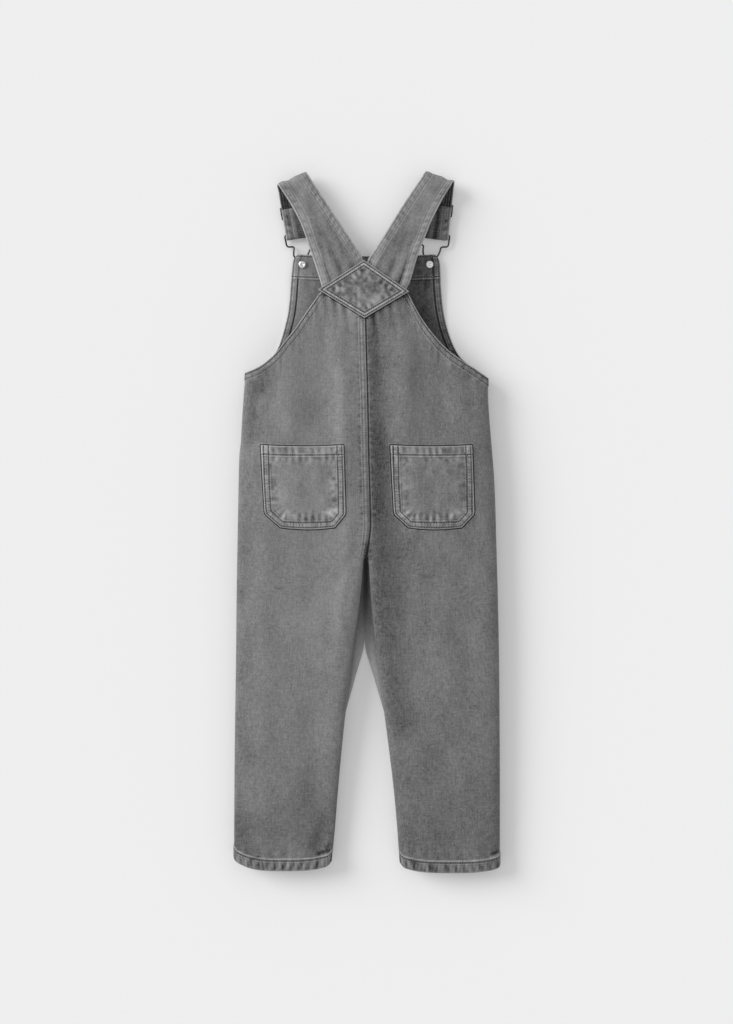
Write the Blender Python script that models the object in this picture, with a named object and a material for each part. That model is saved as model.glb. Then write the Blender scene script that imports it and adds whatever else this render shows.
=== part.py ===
"""A child's bib dungarees in washed grey denim, laid flat on their front.

The garment lies with its back up: back panels, patch pockets and the diamond
yoke face +Z, the front panels and the bib rest on the surface below. +X is the
right-hand side seen from above and +Y runs from the hems to the shoulders. The
origin is the middle of the underside. Tables and named sizes are millimetres.
"""

import math

import bmesh
import bpy
from mathutils import Vector

MM = 0.001

# Cloth and seams
CLOTH = 1.2
STRAP_CLOTH = 1.8
SEAM_GAP = 0.3
FACING_RAISE = 0.8
FACING_WIDTH = 8.5
FELL_RAISE = 0.7
HEM_DEPTH = 14.0
STEP = 0.7

# Outline of the two halves, seen from above
YOKE_Y = 277.4
CROTCH_Y = -41.0
WAIST_Y = 152.0
POCKET_TOP_Y = 91.2
CENTRE_SEAM = [  # y, x
    (330, -3.4), (277, -3.2), (240, -2.6), (125, 0.4), (91, 0.9), (26, 2.8), (-4, 3.4), (-25, 1.6),
    (-41, -0.8),
]
INSEAM = {  # y, x below the crotch
    "left": [(-41, -1.2), (-46, -3.4), (-70, -5.4), (-94, -7.9), (-115, -10.4), (-151, -16.0), (-185, -20.4),
             (-232, -26.0), (-277, -30.6), (-323, -34.8), (-370, -38.6), (-393, -40.9), (-420, -43.6)],
    "right": [(-41, -0.4), (-46, 1.0), (-70, 2.6), (-94, 4.3), (-115, 6.4), (-151, 10.0), (-185, 14.6),
              (-232, 21.0), (-277, 26.8), (-323, 32.2), (-370, 36.4), (-393, 38.0), (-420, 40.0)],
}
SIDE_SEAM = {  # y, x
    "left": [(300, -141.0), (178, -146.0), (151, -148.0), (122, -150.0), (96, -151.4), (79, -153.2),
             (50, -154.0), (-22, -155.4), (-94, -156.6), (-166, -157.3), (-238, -158.4), (-310, -159.2),
             (-420, -159.8)],
    "right": [(300, 141.0), (171, 145.2), (151, 145.4), (122, 147.0), (93, 149.4), (50, 152.8), (21, 154.0),
              (-22, 155.2), (-94, 157.2), (-166, 158.6), (-238, 159.2), (-310, 159.6), (-420, 159.6)],
}
BACK_ARMHOLE = {  # x, y from the yoke to the side seam
    "left": [(-50.0, 277.4), (-55.7, 273.6), (-64.0, 262.5), (-75.4, 246.4), (-84.6, 232.6), (-96.0, 218.4),
             (-107.5, 203.6), (-116.8, 194.2), (-130.4, 184.6), (-146.0, 178.0)],
    "right": [(44.0, 277.4), (49.7, 271.6), (55.4, 260.6), (64.7, 244.0), (76.1, 228.1), (87.6, 214.3),
              (99.1, 203.2), (114.0, 192.4), (128.9, 182.8), (145.2, 171.4)],
}
BIB_SIDE = {  # y, x from the bib's top corner to the waist seam
    "left": [(321.4, -86.6), (318.5, -88.0), (309.7, -89.6), (286.4, -91.6), (266, -93.2), (251.7, -95.0),
             (237.3, -98.2), (222.9, -102.2), (208.5, -107.4), (197.7, -113.8), (189, -124.5), (182, -136.0),
             (178, -146.0), (165, -147.0), (152, -148.0)],
    "right": [(321.4, 84.8), (318.5, 86.2), (309.7, 87.6), (286.4, 88.6), (266, 90.2), (251.7, 92.2),
              (237.3, 95.2), (222.9, 99.6), (208.5, 105.6), (197.7, 112.0), (189, 121.5), (180, 133.0),
              (171.4, 145.0), (165, 145.2), (152, 145.4)],
}
HEM_EDGE = {  # y at the inseam, in the middle and at the side seam
    "left": (-411.0, -417.6, -405.0),
    "right": (-412.5, -420.0, -414.0),
}

# Heights along the length: y, top of the back, height of the side seams, and how far the two halves are
# one level sheet at the centre seam (1) or two separate tubes (0)
LEVELS = [
    (330, 25.6, 13.0, 1.00),
    (277, 26.6, 13.0, 1.00),
    (200, 29.0, 13.5, 0.98),
    (100, 32.0, 14.0, 0.93),
    (40, 33.0, 14.0, 0.90),
    (0, 33.0, 14.0, 0.84),
    (-24, 32.6, 14.0, 0.72),
    (-35, 32.4, 14.0, 0.45),
    (-41, 32.2, 14.0, 0.00),
    (-120, 31.6, 13.6, 0.00),
    (-240, 29.5, 12.8, 0.00),
    (-340, 27.0, 11.8, 0.00),
    (-420, 25.0, 11.0, 0.00),
]
TOP_ROUNDNESS = 4.4
INNER_ROUNDNESS = [(330, 4.4), (60, 4.4), (0, 6.0), (-60, 9.0), (-160, 7.0), (-300, 4.4), (-420, 4.4)]  # y, power
UNDER_ROUNDNESS = 4.5
RESTING_SHARE = 0.93

# Largest soft folds of the back: start, end, half width and height (a trough is negative)
FOLDS = [
    (13, 240, 19, 140, 12, -4.0),
    (19, 140, 30, 70, 15, -5.5),
    (30, 70, 42, -24, 20, -7.0),
    (42, -24, 52, -130, 20, -7.0),
    (52, -130, 58, -260, 20, -4.2),
    (-32, 236, -29, 80, 13, 2.2),
    (-29, 80, -28, -140, 13, 2.6),
    (-126, 178, -139, 84, 9, -2.6),
    (-100, 196, -92, 100, 16, 1.8),
    (-62, 176, -58, 100, 14, -1.6),
    (43, 232, 48, 140, 14, 2.2),
    (78, 206, 88, 104, 16, -1.6),
    (-139, -10, -143, -100, 10, -1.5),
    (-119, 4, -127, -150, 14, 1.5),
    (-60, -16, -68, -104, 15, -2.0),
    (-126, -214, -126, -340, 16, 1.4),
    (-66, -226, -52, -396, 22, -4.6),
    (88, -112, 108, -262, 16, 1.5),
    (118, -60, 124, -180, 14, -1.4),
    (96, -268, 102, -396, 16, -1.8),
]

# Column places across a half, from the centre seam or inseam (0) to the side seam (1)
BACK_COLUMNS = [0, 0.014, 0.046, 0.062, 0.11, 0.165, 0.22, 0.28, 0.34, 0.40, 0.46, 0.52, 0.58, 0.64, 0.70, 0.76,
                0.82, 0.88, 0.93, 0.97, 1]
FRONT_COLUMNS = [0, 0.015, 0.05, 0.11, 0.22, 0.36, 0.50, 0.64, 0.78, 0.89, 0.95, 0.985, 1]
BIB_COLUMNS = [-1, -0.975, -0.915, -0.907, -0.8, -0.6, -0.4, -0.2, 0,
               0.2, 0.4, 0.6, 0.8, 0.907, 0.915, 0.975, 1]

# Bib: y, height of its underside above the surface; it rises to pass over the buttons and the wire
BIB_LIFT = [(330, 5.7), (300, 5.7), (285, 4.7), (262, 2.4), (240, 0.7), (224, 0.0), (140, 0.0)]
BIB_RISE = [(330, 0.0), (214, 0.0), (196, 0.35), (180, 1.0), (140, 1.0)]
BIB_TOP_Y = 321.4
BIB_TOP_DIP = 2.2
BIB_BAND = 28.5
BIB_ROWS = [292.0, 278, 264, 250, 236, 224, 212, 202, 194, 187, 181, 174, 165]

# Pockets: rows of y, inner x, outer x
POCKETS = {
    "left": [(91.2, -28.2, -126.4), (48, -27.0, -124.0), (12, -25.8, -121.8), (8.5, -26.4, -120.2),
             (-6.4, -38.4, -103.2)],
    "right": [(91.2, 125.2, 28.4), (48, 126.6, 30.6), (12, 127.8, 32.6), (8.5, 127.0, 33.6),
              (-6.4, 113.0, 49.6)],
}
POCKET_ROWS = [91.2, 79.2, 78.4, 62, 46, 30, 16, 8.5, 1.0, -6.4]
POCKET_COLUMNS = 10
POCKET_HEM_RAISE = 0.7
POCKET_FULLNESS = 1.3
POCKET_GAP = 0.95
POCKET_SAG = 2.3

# Yoke: corners of the diamond, and the raised rim inside its edge
YOKE_CORNERS = {"left": (-57.8, 277.4), "top": (-3.6, 312.4), "right": (50.0, 275.2), "bottom": (-2.8, 243.8)}
YOKE_CLOTH = 1.7
YOKE_RIM = 5.4
YOKE_RIM_RAISE = 0.5
YOKE_GAP = 0.5

# Straps: edges of the back part from the shoulder to the yoke, then the front part below it
STRAP_WIDTH = 35.7
STRAPS = {
    "left": {
        "outer": [(-107.6, 405.0), (-92.5, 382.5), (-79.6, 358.5), (-70.7, 333.5), (-62.6, 309.7),
                  (-55.4, 287.0), (-53.0, 277.8)],
        "inner": [(-73.8, 419.6), (-60.0, 398.9), (-45.5, 377.0), (-31.5, 355.9), (-19.0, 337.0), (-6.5, 318.0),
                  (-4.6, 277.8)],
        "front_end": (-96.4, 338.0),
        "button": (-77.6, 309.2),
    },
    "right": {
        "outer": [(104.9, 408.6), (91.6, 388.5), (77.6, 361.5), (69.4, 341.0), (61.2, 320.6), (51.8, 289.0),
                  (46.4, 277.8)],
        "inner": [(71.4, 420.0), (57.2, 400.0), (43.0, 378.8), (28.6, 355.6), (14.4, 333.2), (1.4, 313.2),
                  (-2.0, 277.8)],
        "front_end": (97.2, 338.0),
        "button": (75.2, 309.2),
    },
}
SHOULDER_TOP = 21.8
SHOULDER_RADIUS = 7.4
MAIN_LAYER = 3.1
RETURN_LAYER = 7.5
OVER_BAR_LAYER = 9.3
UNDER_BAR_LAYER = 5.2
LOOP_RADIUS = (RETURN_LAYER - MAIN_LAYER) / 2
STRAP_LEVEL_Y = 296.0
STRAP_SHOULDER_Y = 398.0
SHOULDER_STEPS = 8
LOOP_STEPS = 6
WRAP_STEPS = 5
SHOULDER_DESCENT = [(16.0, 0.75), (21.0, 0.35), (26.0, 0.0)]  # distance down the front, share of the descent
RETURN_CLIMB = [(17.5, 7.9), (8.5, 8.9), (4.0, 9.3)]  # distance below the slide, height
WRAP_BEFORE_BAR = 1.2
STRAP_TAIL = 6.0

# Slide: three flat bars in a bent plate; distances are along the strap from the shoulder fold's outer corner
SLIDE_PLACE = 34.5
SLIDE_BAR = 2.5
SLIDE_SLOT = 3.6
SLIDE_THICKNESS = 1.6
SLIDE_SIDE = 1.7
SLIDE_LOW = 0.3
SLIDE_HIGH = 6.5

# Wire buckle: half width, distance from the wire's top bar, and height, down one side of the loop
WIRE = 2.0
WIRE_PATH = [
    (0.0, 0.0, 5.3), (9.0, 0.0, 5.3), (17.2, 0.0, 5.3), (19.4, 1.6, 5.2), (19.3, 6.0, 5.0), (19.0, 11.4, 4.7),
    (17.0, 13.4, 4.5), (12.8, 14.0, 4.4), (10.6, 15.4, 4.3), (10.2, 19.0, 4.3), (8.8, 24.4, 4.3),
    (5.6, 30.0, 4.3), (4.5, 34.8, 4.3), (4.1, 37.8, 4.3), (2.4, 39.9, 4.3), (0.0, 40.4, 4.3),
]
WIRE_BAR_ABOVE_FOLD = 6.6
WIRE_SHOULDER = 13.4
WIRE_BELOW_BUTTON = 4.5

# Bib buttons and their tacks: radius and height rings from the surface up
BUTTON_RINGS = [(7.2, 0.0), (8.4, 0.7), (8.6, 1.9), (7.6, 2.9), (3.0, 3.0), (3.0, 5.35)]
TACK_RINGS = [(1.0, 5.65), (1.0, 9.4), (4.5, 9.4), (4.6, 9.9), (3.6, 10.7), (1.6, 11.0)]
TACK_HOLE = 1.35
ROUND_STEPS = 20

COLOURS = {  # base colour, metallic, roughness
    "denim": ((0.19, 0.19, 0.19), 0.0, 0.92),
    "steel": ((0.36, 0.36, 0.35), 1.0, 0.35),
    "nickel": ((0.78, 0.78, 0.76), 1.0, 0.28),
}


def clear_scene():
    for obj in list(bpy.data.objects):
        bpy.data.objects.remove(obj, do_unlink=True)


def material(name, look):
    colour, metallic, roughness = COLOURS[look]
    made = bpy.data.materials.new(name)
    made.use_nodes = True
    shader = made.node_tree.nodes["Principled BSDF"]
    shader.inputs["Base Color"].default_value = (*colour, 1)
    shader.inputs["Metallic"].default_value = metallic
    shader.inputs["Roughness"].default_value = roughness
    return made


# Reading the tables

def smooth(t):
    t = min(max(t, 0.0), 1.0)
    return t * t * (3 - 2 * t)


def between(a, b, t):
    return a + (b - a) * t


def along(table, at, column=1, key=0):
    """The table's column at this value of its key column, on a smooth curve through the rows."""
    rows = sorted(table, key=lambda row: row[key])
    at = min(max(at, rows[0][key]), rows[-1][key])
    i = max(k for k in range(len(rows) - 1) if rows[k][key] <= at)
    before, low, high = rows[max(i - 1, 0)], rows[i], rows[i + 1]
    after = rows[min(i + 2, len(rows) - 1)]
    span = high[key] - low[key]

    def slope(a, b):
        return (b[column] - a[column]) / (b[key] - a[key]) if b[key] != a[key] else 0.0

    def limited(first, second, third):
        left, right = slope(first, second), slope(second, third)
        return 0.0 if left * right <= 0 else 2 * left * right / (left + right)

    start = limited(before, low, high) if before is not low else slope(low, high)
    end = limited(low, high, after) if after is not high else slope(low, high)
    t = (at - low[key]) / span
    return (
        low[column] * (1 + 2 * t) * (1 - t) ** 2
        + start * span * t * (1 - t) ** 2
        + high[column] * t * t * (3 - 2 * t)
        + end * span * t * t * (t - 1)
    )


def inner_x(side, y):
    """The centre seam above the crotch, with the seam gap, and the inseam below it."""
    if y < CROTCH_Y:
        return along(INSEAM[side], y)
    return along(CENTRE_SEAM, y) + (-SEAM_GAP / 2 if side == "left" else SEAM_GAP / 2)


def column_x(side, u, y):
    return between(inner_x(side, y), along(SIDE_SEAM[side], y), u)


def armhole_y(side, x):
    """The back's top edge: level under the yoke, then down the armhole."""
    if abs(x) < abs(BACK_ARMHOLE[side][0][0]):
        return YOKE_Y
    return along(BACK_ARMHOLE[side], x)


def hem_y(side, s):
    """The hem's edge, s running from -1 at the inseam to 1 at the side seam."""
    inseam, middle, side_seam = HEM_EDGE[side]
    return between(middle, inseam if s < 0 else side_seam, abs(s) ** 3.2)


def roundness(s, power):
    return max(0.0, 1 - abs(s) ** power) ** (1 / power)


def swell(s, y, power):
    """How far the cloth stands off the side seams' level, 0 to 1, across a half."""
    full = roundness(s, power)
    if s < 0:
        joined = along(LEVELS, y, 3)
        full = 1 - (1 - joined) * (1 - full)
    return full


def folds(x, y):
    """Height of the soft folds at a point: ridges and troughs along straight lines with faded ends."""
    total = 0.0
    for x0, y0, x1, y1, half, height in FOLDS:
        length = math.hypot(x1 - x0, y1 - y0)
        ux, uy = (x1 - x0) / length, (y1 - y0) / length
        t = (x - x0) * ux + (y - y0) * uy
        off = (x - x0) * uy - (y - y0) * ux
        fade = smooth((t + half) / (2 * half)) * smooth((length + half - t) / (2 * half))
        total += height * fade * math.exp(-((off / half) ** 2))
    return total


def back_height(side, u, y):
    s = 2 * u - 1
    top, seam = along(LEVELS, y, 1), along(LEVELS, y, 2)
    full = swell(s, y, TOP_ROUNDNESS if s >= 0 else along(INNER_ROUNDNESS, y))
    fold_share = smooth((full - 0.25) / 0.5)
    x = column_x(side, u, y)
    return seam + SEAM_GAP / 2 + (top - seam) * full + folds(x, y) * fold_share


def front_height(u, y):
    seam = along(LEVELS, y, 2) - SEAM_GAP / 2
    full = swell(2 * u - 1, y, UNDER_ROUNDNESS)
    return seam * max(0.0, 1 - full / RESTING_SHARE)


# Walls of cloth

def grid_normals(grid):
    """One normal for each point, from its neighbours in the grid."""
    rows, columns = len(grid), len(grid[0])
    normals = []
    for i in range(rows):
        line = []
        for j in range(columns):
            down = grid[min(i + 1, rows - 1)][j] - grid[max(i - 1, 0)][j]
            across = grid[i][min(j + 1, columns - 1)] - grid[i][max(j - 1, 0)]
            line.append(across.cross(down).normalized())
        normals.append(line)
    return normals


def facing(normals, direction):
    """The normals turned so that they point to this side."""
    flip = sum(n.dot(direction) for line in normals for n in line) < 0
    return [[-n if flip else n for n in line] for line in normals]


def solid(name, points, faces, look, flat=False):
    """A closed mesh object, in millimetres, with its faces pointing out."""
    mesh = bpy.data.meshes.new(name)
    shape = bmesh.new()
    corners = [shape.verts.new(Vector(p) * MM) for p in points]
    for face in faces:
        shape.faces.new([corners[k] for k in face])
    bmesh.ops.recalc_face_normals(shape, faces=shape.faces)
    shape.to_mesh(mesh)
    shape.free()
    mesh.materials.append(material(name, look))
    if not flat:
        mesh.shade_smooth()
        mesh.set_sharp_from_angle(angle=math.radians(40))
    obj = bpy.data.objects.new(name, mesh)
    bpy.context.scene.collection.objects.link(obj)
    return obj


def wall(name, outer, inner, look="denim"):
    """The closed solid between two grids of the same size, split into triangles along the same diagonals."""
    rows, columns = len(outer), len(outer[0])
    points = [p for grid in (outer, inner) for line in grid for p in line]

    def at(layer, i, j):
        return (layer * rows + i) * columns + j

    faces = []
    for i in range(rows - 1):
        for j in range(columns - 1):
            for layer in (0, 1):
                a, b = at(layer, i, j), at(layer, i, j + 1)
                c, d = at(layer, i + 1, j + 1), at(layer, i + 1, j)
                faces += [(a, b, c), (a, c, d)] if layer == 0 else [(c, b, a), (d, c, a)]
    rim = [(0, j) for j in range(columns - 1)]
    rim += [(i, columns - 1) for i in range(rows - 1)]
    rim += [(rows - 1, j) for j in range(columns - 1, 0, -1)]
    rim += [(i, 0) for i in range(rows - 1, 0, -1)]
    for k, (i, j) in enumerate(rim):
        ni, nj = rim[(k + 1) % len(rim)]
        faces.append((at(0, ni, nj), at(0, i, j), at(1, i, j), at(1, ni, nj)))
    return solid(name, points, faces, look)


def seam_inset(point, level, inward, up):
    """The inside point of a wall at a seam: straight through the cloth where the seam lies level, and
    sideways where it stands at the level of the other layer, which it never crosses."""
    drop = min(CLOTH, max(0.0, (point.z - level) * up))
    return Vector((point.x + inward * math.sqrt(CLOTH**2 - drop**2), point.y, point.z - up * drop))


def back_rows(side, u):
    """The y of each row of a back panel along one column, from the top edge to the hem."""
    top = YOKE_Y
    for _ in range(6):
        top = armhole_y(side, column_x(side, u, top))
    x = column_x(side, u, top)
    reach = 2.0
    slope = (armhole_y(side, x + reach) - armhole_y(side, x - reach)) / (2 * reach)
    band = FACING_WIDTH * math.sqrt(1 + min(abs(slope), 1.5) ** 2)
    hem = hem_y(side, 2 * u - 1)
    rows = [top, top - band, top - band - STEP]
    rows += [between(rows[2], POCKET_TOP_Y + 12, t / 8) for t in range(1, 9)]
    rows += [between(POCKET_TOP_Y + 12, CROTCH_Y, t / 9) for t in range(1, 10)]
    rows += [between(CROTCH_Y, hem + HEM_DEPTH + STEP, t / 15) for t in range(1, 16)]
    return rows + [hem + HEM_DEPTH, hem]


def back_raise(side, u, row, last_row):
    """Extra thickness outside the back: armhole facing, hem, and the fell beside the centre seam."""
    y_rows = back_rows(side, u)
    x = abs(column_x(side, u, y_rows[row]))
    extra = 0.0
    if row <= 1:
        extra = FACING_RAISE * smooth((x - 56) / 16)
    if row >= last_row - 1:
        extra = FACING_RAISE
    if side == "left" and y_rows[row] > CROTCH_Y + 20 and u < 0.05:
        extra = max(extra, FELL_RAISE * smooth((YOKE_CORNERS["bottom"][1] - y_rows[row]) / 14))
    return extra


def make_back(side):
    columns = [back_rows(side, u) for u in BACK_COLUMNS]
    rows = len(columns[0])
    base = [
        [Vector((column_x(side, u, ys[i]), ys[i], back_height(side, u, ys[i])))
         for u, ys in zip(BACK_COLUMNS, columns)]
        for i in range(rows)
    ]
    normals = facing(grid_normals(base), Vector((0, 0, 1)))
    away = -1 if side == "left" else 1
    outer, inner = [], []
    for i, line in enumerate(base):
        outer_line, inner_line = [], []
        for j, point in enumerate(line):
            u, level = BACK_COLUMNS[j], along(LEVELS, point.y, 2) + SEAM_GAP / 2
            n = normals[i][j]
            extra = back_raise(side, u, i, rows - 1)
            if u == 1:
                n, inside = Vector((away, 0, 0)), seam_inset(point, point.z, -away, 1)
            elif u == 0:
                inside = seam_inset(point, level, away, 1)
                n = (point - inside).normalized()
                n.x = 0.0 if point.y > CROTCH_Y else n.x
            else:
                inside = point - n * CLOTH
            outer_line.append(point + n * extra)
            inner_line.append(inside)
        outer.append(outer_line)
        inner.append(inner_line)
    wall("back_" + side, outer, inner)
    return outer


def front_rows(side, u):
    hem = hem_y(side, 2 * u - 1) + 1.5 * (1 - abs(2 * u - 1) ** 3.2)
    rows = [between(WAIST_Y - SEAM_GAP / 2, CROTCH_Y, t / 9) for t in range(10)]
    rows += [between(CROTCH_Y, hem + HEM_DEPTH, t / 12) for t in range(1, 13)]
    return rows + [hem]


def make_front(side):
    columns = [front_rows(side, u) for u in FRONT_COLUMNS]
    rows = len(columns[0])
    outer = [
        [Vector((column_x(side, u, ys[i]), ys[i], front_height(u, ys[i])))
         for u, ys in zip(FRONT_COLUMNS, columns)]
        for i in range(rows)
    ]
    normals = facing(grid_normals(outer), Vector((0, 0, -1)))
    away = -1 if side == "left" else 1
    inner = []
    for i, line in enumerate(outer):
        inner_line = []
        for j, point in enumerate(line):
            level = along(LEVELS, point.y, 2) - SEAM_GAP / 2
            if FRONT_COLUMNS[j] == 1:
                inside = seam_inset(point, point.z, -away, -1)
            elif FRONT_COLUMNS[j] == 0:
                inside = seam_inset(point, level, away, -1)
            else:
                inside = point - normals[i][j] * CLOTH
            inner_line.append(inside)
        inner.append(inner_line)
    wall("front_" + side, outer, inner)


def make_bib():
    """The bib lies outer face down; its inside, with the turned edges and the top band, faces up."""
    def bib_x(t, y):
        return between(along(BIB_SIDE["left"], y), along(BIB_SIDE["right"], y), (t + 1) / 2)

    def underside(t, y):
        seam = along(LEVELS, y, 2) - SEAM_GAP / 2
        rise = seam * max(0.0, 1 - roundness(t, UNDER_ROUNDNESS * 1.6) / RESTING_SHARE)
        return along(BIB_LIFT, y) + rise * along(BIB_RISE, y)

    top_rows = [BIB_TOP_Y, BIB_TOP_Y - BIB_BAND + STEP, BIB_TOP_Y - BIB_BAND]
    rows = top_rows[:1] + [306.0] + top_rows[1:] + BIB_ROWS[1:] + [WAIST_Y + SEAM_GAP / 2]
    lower, upper = [], []
    for i, row in enumerate(rows):
        lower_line, upper_line = [], []
        for t in BIB_COLUMNS:
            y = row - (BIB_TOP_DIP * (1 - t * t) if i == 0 else 0.0)
            point = Vector((bib_x(t, y), y, underside(t, y)))
            banded = i <= 2 or (abs(t) > 0.91 and y > 200)
            thick = CLOTH + (FACING_RAISE if banded else 0.0)
            if abs(t) == 1 and y < 180:
                inside = point + Vector((-math.copysign(CLOTH, t), 0, 0))
            else:
                inside = point + Vector((0, 0, thick))
            lower_line.append(point)
            upper_line.append(inside)
        lower.append(lower_line)
        upper.append(upper_line)
    made = wall("bib", upper, lower)
    for side in ("left", "right"):
        x, y = STRAPS[side]["button"]
        hole = turned("hole_" + side, (x, y), [(TACK_HOLE, -2.0), (TACK_HOLE, 14.0)], "denim", 12)
        hole.hide_render = True
        hole.display_type = "WIRE"
        cut = made.modifiers.new("tack_hole_" + side, "BOOLEAN")
        cut.operation = "DIFFERENCE"
        cut.solver = "EXACT"
        cut.object = hole


# Pieces sewn on the back

def height_on(panel, x, y):
    """Height of a panel's faceted outer surface at a point seen from above."""
    for i in range(len(panel) - 1):
        for j in range(len(panel[0]) - 1):
            a, b, c, d = panel[i][j], panel[i][j + 1], panel[i + 1][j + 1], panel[i + 1][j]
            for p, q, r in ((a, b, c), (a, c, d)):
                area = (q.x - p.x) * (r.y - p.y) - (r.x - p.x) * (q.y - p.y)
                if abs(area) < 1e-6:
                    continue
                v = ((x - p.x) * (r.y - p.y) - (r.x - p.x) * (y - p.y)) / area
                w = ((q.x - p.x) * (y - p.y) - (x - p.x) * (q.y - p.y)) / area
                if v >= -1e-6 and w >= -1e-6 and v + w <= 1 + 1e-6:
                    return p.z + v * (q.z - p.z) + w * (r.z - p.z)
    return None


def make_pocket(side, panel):
    """A patch lying on the back panel, a little full in the middle, with a turned hem at its mouth."""
    outer, inner = [], []
    for row in POCKET_ROWS:
        first, last = along(POCKETS[side], row), along(POCKETS[side], row, 2)
        down = (POCKET_TOP_Y - row) / (POCKET_TOP_Y - POCKET_ROWS[-1])
        hem = POCKET_HEM_RAISE if row >= POCKET_ROWS[1] else 0.0
        outer_line, inner_line = [], []
        for k in range(POCKET_COLUMNS):
            t = k / (POCKET_COLUMNS - 1)
            x = between(first, last, t)
            y = row - POCKET_SAG * 4 * t * (1 - t) * down**3
            full = 4 * t * (1 - t) * (1 - down**3)
            under = height_on(panel, x, y) + POCKET_GAP + POCKET_FULLNESS * full
            inner_line.append(Vector((x, y, under)))
            outer_line.append(Vector((x, y, under + CLOTH + hem)))
        outer.append(outer_line)
        inner.append(inner_line)
    wall("pocket_" + side, outer, inner)


def yoke_level(x, y):
    """The smooth level of the cloth under the yoke: both the strap ends and the back panels end there."""
    side = "left" if x < along(CENTRE_SEAM, y) else "right"
    width = along(SIDE_SEAM[side], y) - inner_x(side, y)
    return back_height(side, min(max((x - inner_x(side, y)) / width, 0.0), 1.0), y)


def make_yoke(panels):
    """The diamond patch over the strap ends and the tops of the back panels."""
    left, top = Vector(YOKE_CORNERS["left"]), Vector(YOKE_CORNERS["top"])
    right, bottom = Vector(YOKE_CORNERS["right"]), Vector(YOKE_CORNERS["bottom"])
    side_length = (top - left).length
    rim = YOKE_RIM / (side_length * math.sin(2 * math.atan2(34, 54)))
    places = [0, rim, rim + 0.012, 0.26, 0.42, 0.58, 0.74, 1 - rim - 0.012, 1 - rim, 1]
    outer, inner = [], []
    for v in places:
        outer_line, inner_line = [], []
        for w in places:
            a = left + (top - left) * w
            b = bottom + (right - bottom) * w
            x, y = a + (b - a) * v
            near = max(yoke_level(x, y), *(height_on(p, x, y) or 0 for p in panels))
            under = near + YOKE_GAP
            lift = YOKE_RIM_RAISE if min(v, w, 1 - v, 1 - w) <= rim + 1e-9 else 0.0
            inner_line.append(Vector((x, y, under)))
            outer_line.append(Vector((x, y, under + YOKE_CLOTH + lift)))
        outer.append(outer_line)
        inner.append(inner_line)
    wall("yoke", outer, inner)


# Straps with their hardware

class FrontStrap:
    """The frame of a strap's front part: places are distances down the strap and across it."""

    def __init__(self, side):
        table = STRAPS[side]
        self.corner = Vector(table["outer"][0])
        self.down = (Vector(table["front_end"]) - self.corner).normalized()
        across = Vector((-self.down.y, self.down.x))
        self.across = across if across.x * self.corner.x < 0 else -across
        self.length = (Vector(table["front_end"]) - self.corner).length

    def point(self, along_strap, across_strap, z):
        flat = self.corner + self.down * along_strap + self.across * across_strap
        return Vector((flat.x, flat.y, z))


def with_midpoints(edge):
    """A strap edge's points, with the middles of a smooth curve between them; its last run is straight."""
    points = [Vector(p) for p in edge]
    full = []
    for k in range(len(points) - 2):
        a, b = points[k], points[k + 1]
        beyond = points[max(k - 1, 0)] + points[min(k + 2, len(points) - 2)]
        full += [a, (9 * (a + b) - beyond) / 16]
    return full + points[-2:]


def strap_stations(side):
    """Pairs of edge points, outer and inner, down the whole strap from the yoke to its sewn end."""
    table, front = STRAPS[side], FrontStrap(side)
    outer, inner = with_midpoints(table["outer"]), with_midpoints(table["inner"])
    crease = (inner[0] - outer[0]).normalized()
    up = Vector((-crease.y, crease.x))
    up = up if up.y > 0 else -up
    depth = SHOULDER_RADIUS + STRAP_CLOTH / 2

    def behind(point, direction):
        """The point on a strap edge that lies one fold depth below the shoulder crease."""
        return point + direction * (depth / -direction.dot(up))

    back_start = [behind(edge[0], (edge[1] - edge[0]).normalized()) for edge in (outer, inner)]
    front_start = [behind(outer[0], front.down), behind(inner[0], front.down)]
    stations = []
    for k in range(len(outer) - 1, 0, -1):
        pair = []
        for x, y in (outer[k], inner[k]):
            climb = smooth((y - STRAP_LEVEL_Y) / (STRAP_SHOULDER_Y - STRAP_LEVEL_Y))
            pair.append(Vector((x, y, between(yoke_level(x, y) - STRAP_CLOTH / 2, SHOULDER_TOP, climb))))
        stations.append(pair)
    for k in range(SHOULDER_STEPS + 1):
        angle = math.pi / 2 - math.pi * k / SHOULDER_STEPS
        pair = []
        for start, end in zip(back_start, front_start):
            flat = start.lerp(end, k / SHOULDER_STEPS) + up * (SHOULDER_RADIUS * math.cos(angle))
            z = SHOULDER_TOP - SHOULDER_RADIUS + SHOULDER_RADIUS * math.sin(angle)
            pair.append(Vector((flat.x, flat.y, z)))
        stations.append(pair)

    def straight(place, z, skew=0.0):
        stations.append([front.point(place, 0, z), front.point(place + skew, STRAP_WIDTH, z)])

    skew = (front_start[1] - front.corner).dot(front.down) - depth
    for place, share in SHOULDER_DESCENT:
        straight(place, between(MAIN_LAYER, SHOULDER_TOP - 2 * SHOULDER_RADIUS, smooth(share)), skew * share)
    fold = front.length - LOOP_RADIUS - STRAP_CLOTH / 2
    for place in (SLIDE_PLACE, between(SLIDE_PLACE, fold, 0.5), fold):
        straight(place, MAIN_LAYER)
    for k in range(1, LOOP_STEPS + 1):
        angle = math.pi * k / LOOP_STEPS
        middle = (MAIN_LAYER + RETURN_LAYER) / 2
        straight(fold + LOOP_RADIUS * math.sin(angle), middle - LOOP_RADIUS * math.cos(angle))
    for place, z in RETURN_CLIMB:
        straight(SLIDE_PLACE + place, z)
    turn = (OVER_BAR_LAYER - UNDER_BAR_LAYER) / 2
    for k in range(WRAP_STEPS + 1):
        angle = math.pi * k / WRAP_STEPS
        place = SLIDE_PLACE - WRAP_BEFORE_BAR - turn * math.sin(angle)
        straight(place, OVER_BAR_LAYER - turn * (1 - math.cos(angle)))
    straight(SLIDE_PLACE + STRAP_TAIL, UNDER_BAR_LAYER)
    return stations


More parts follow.
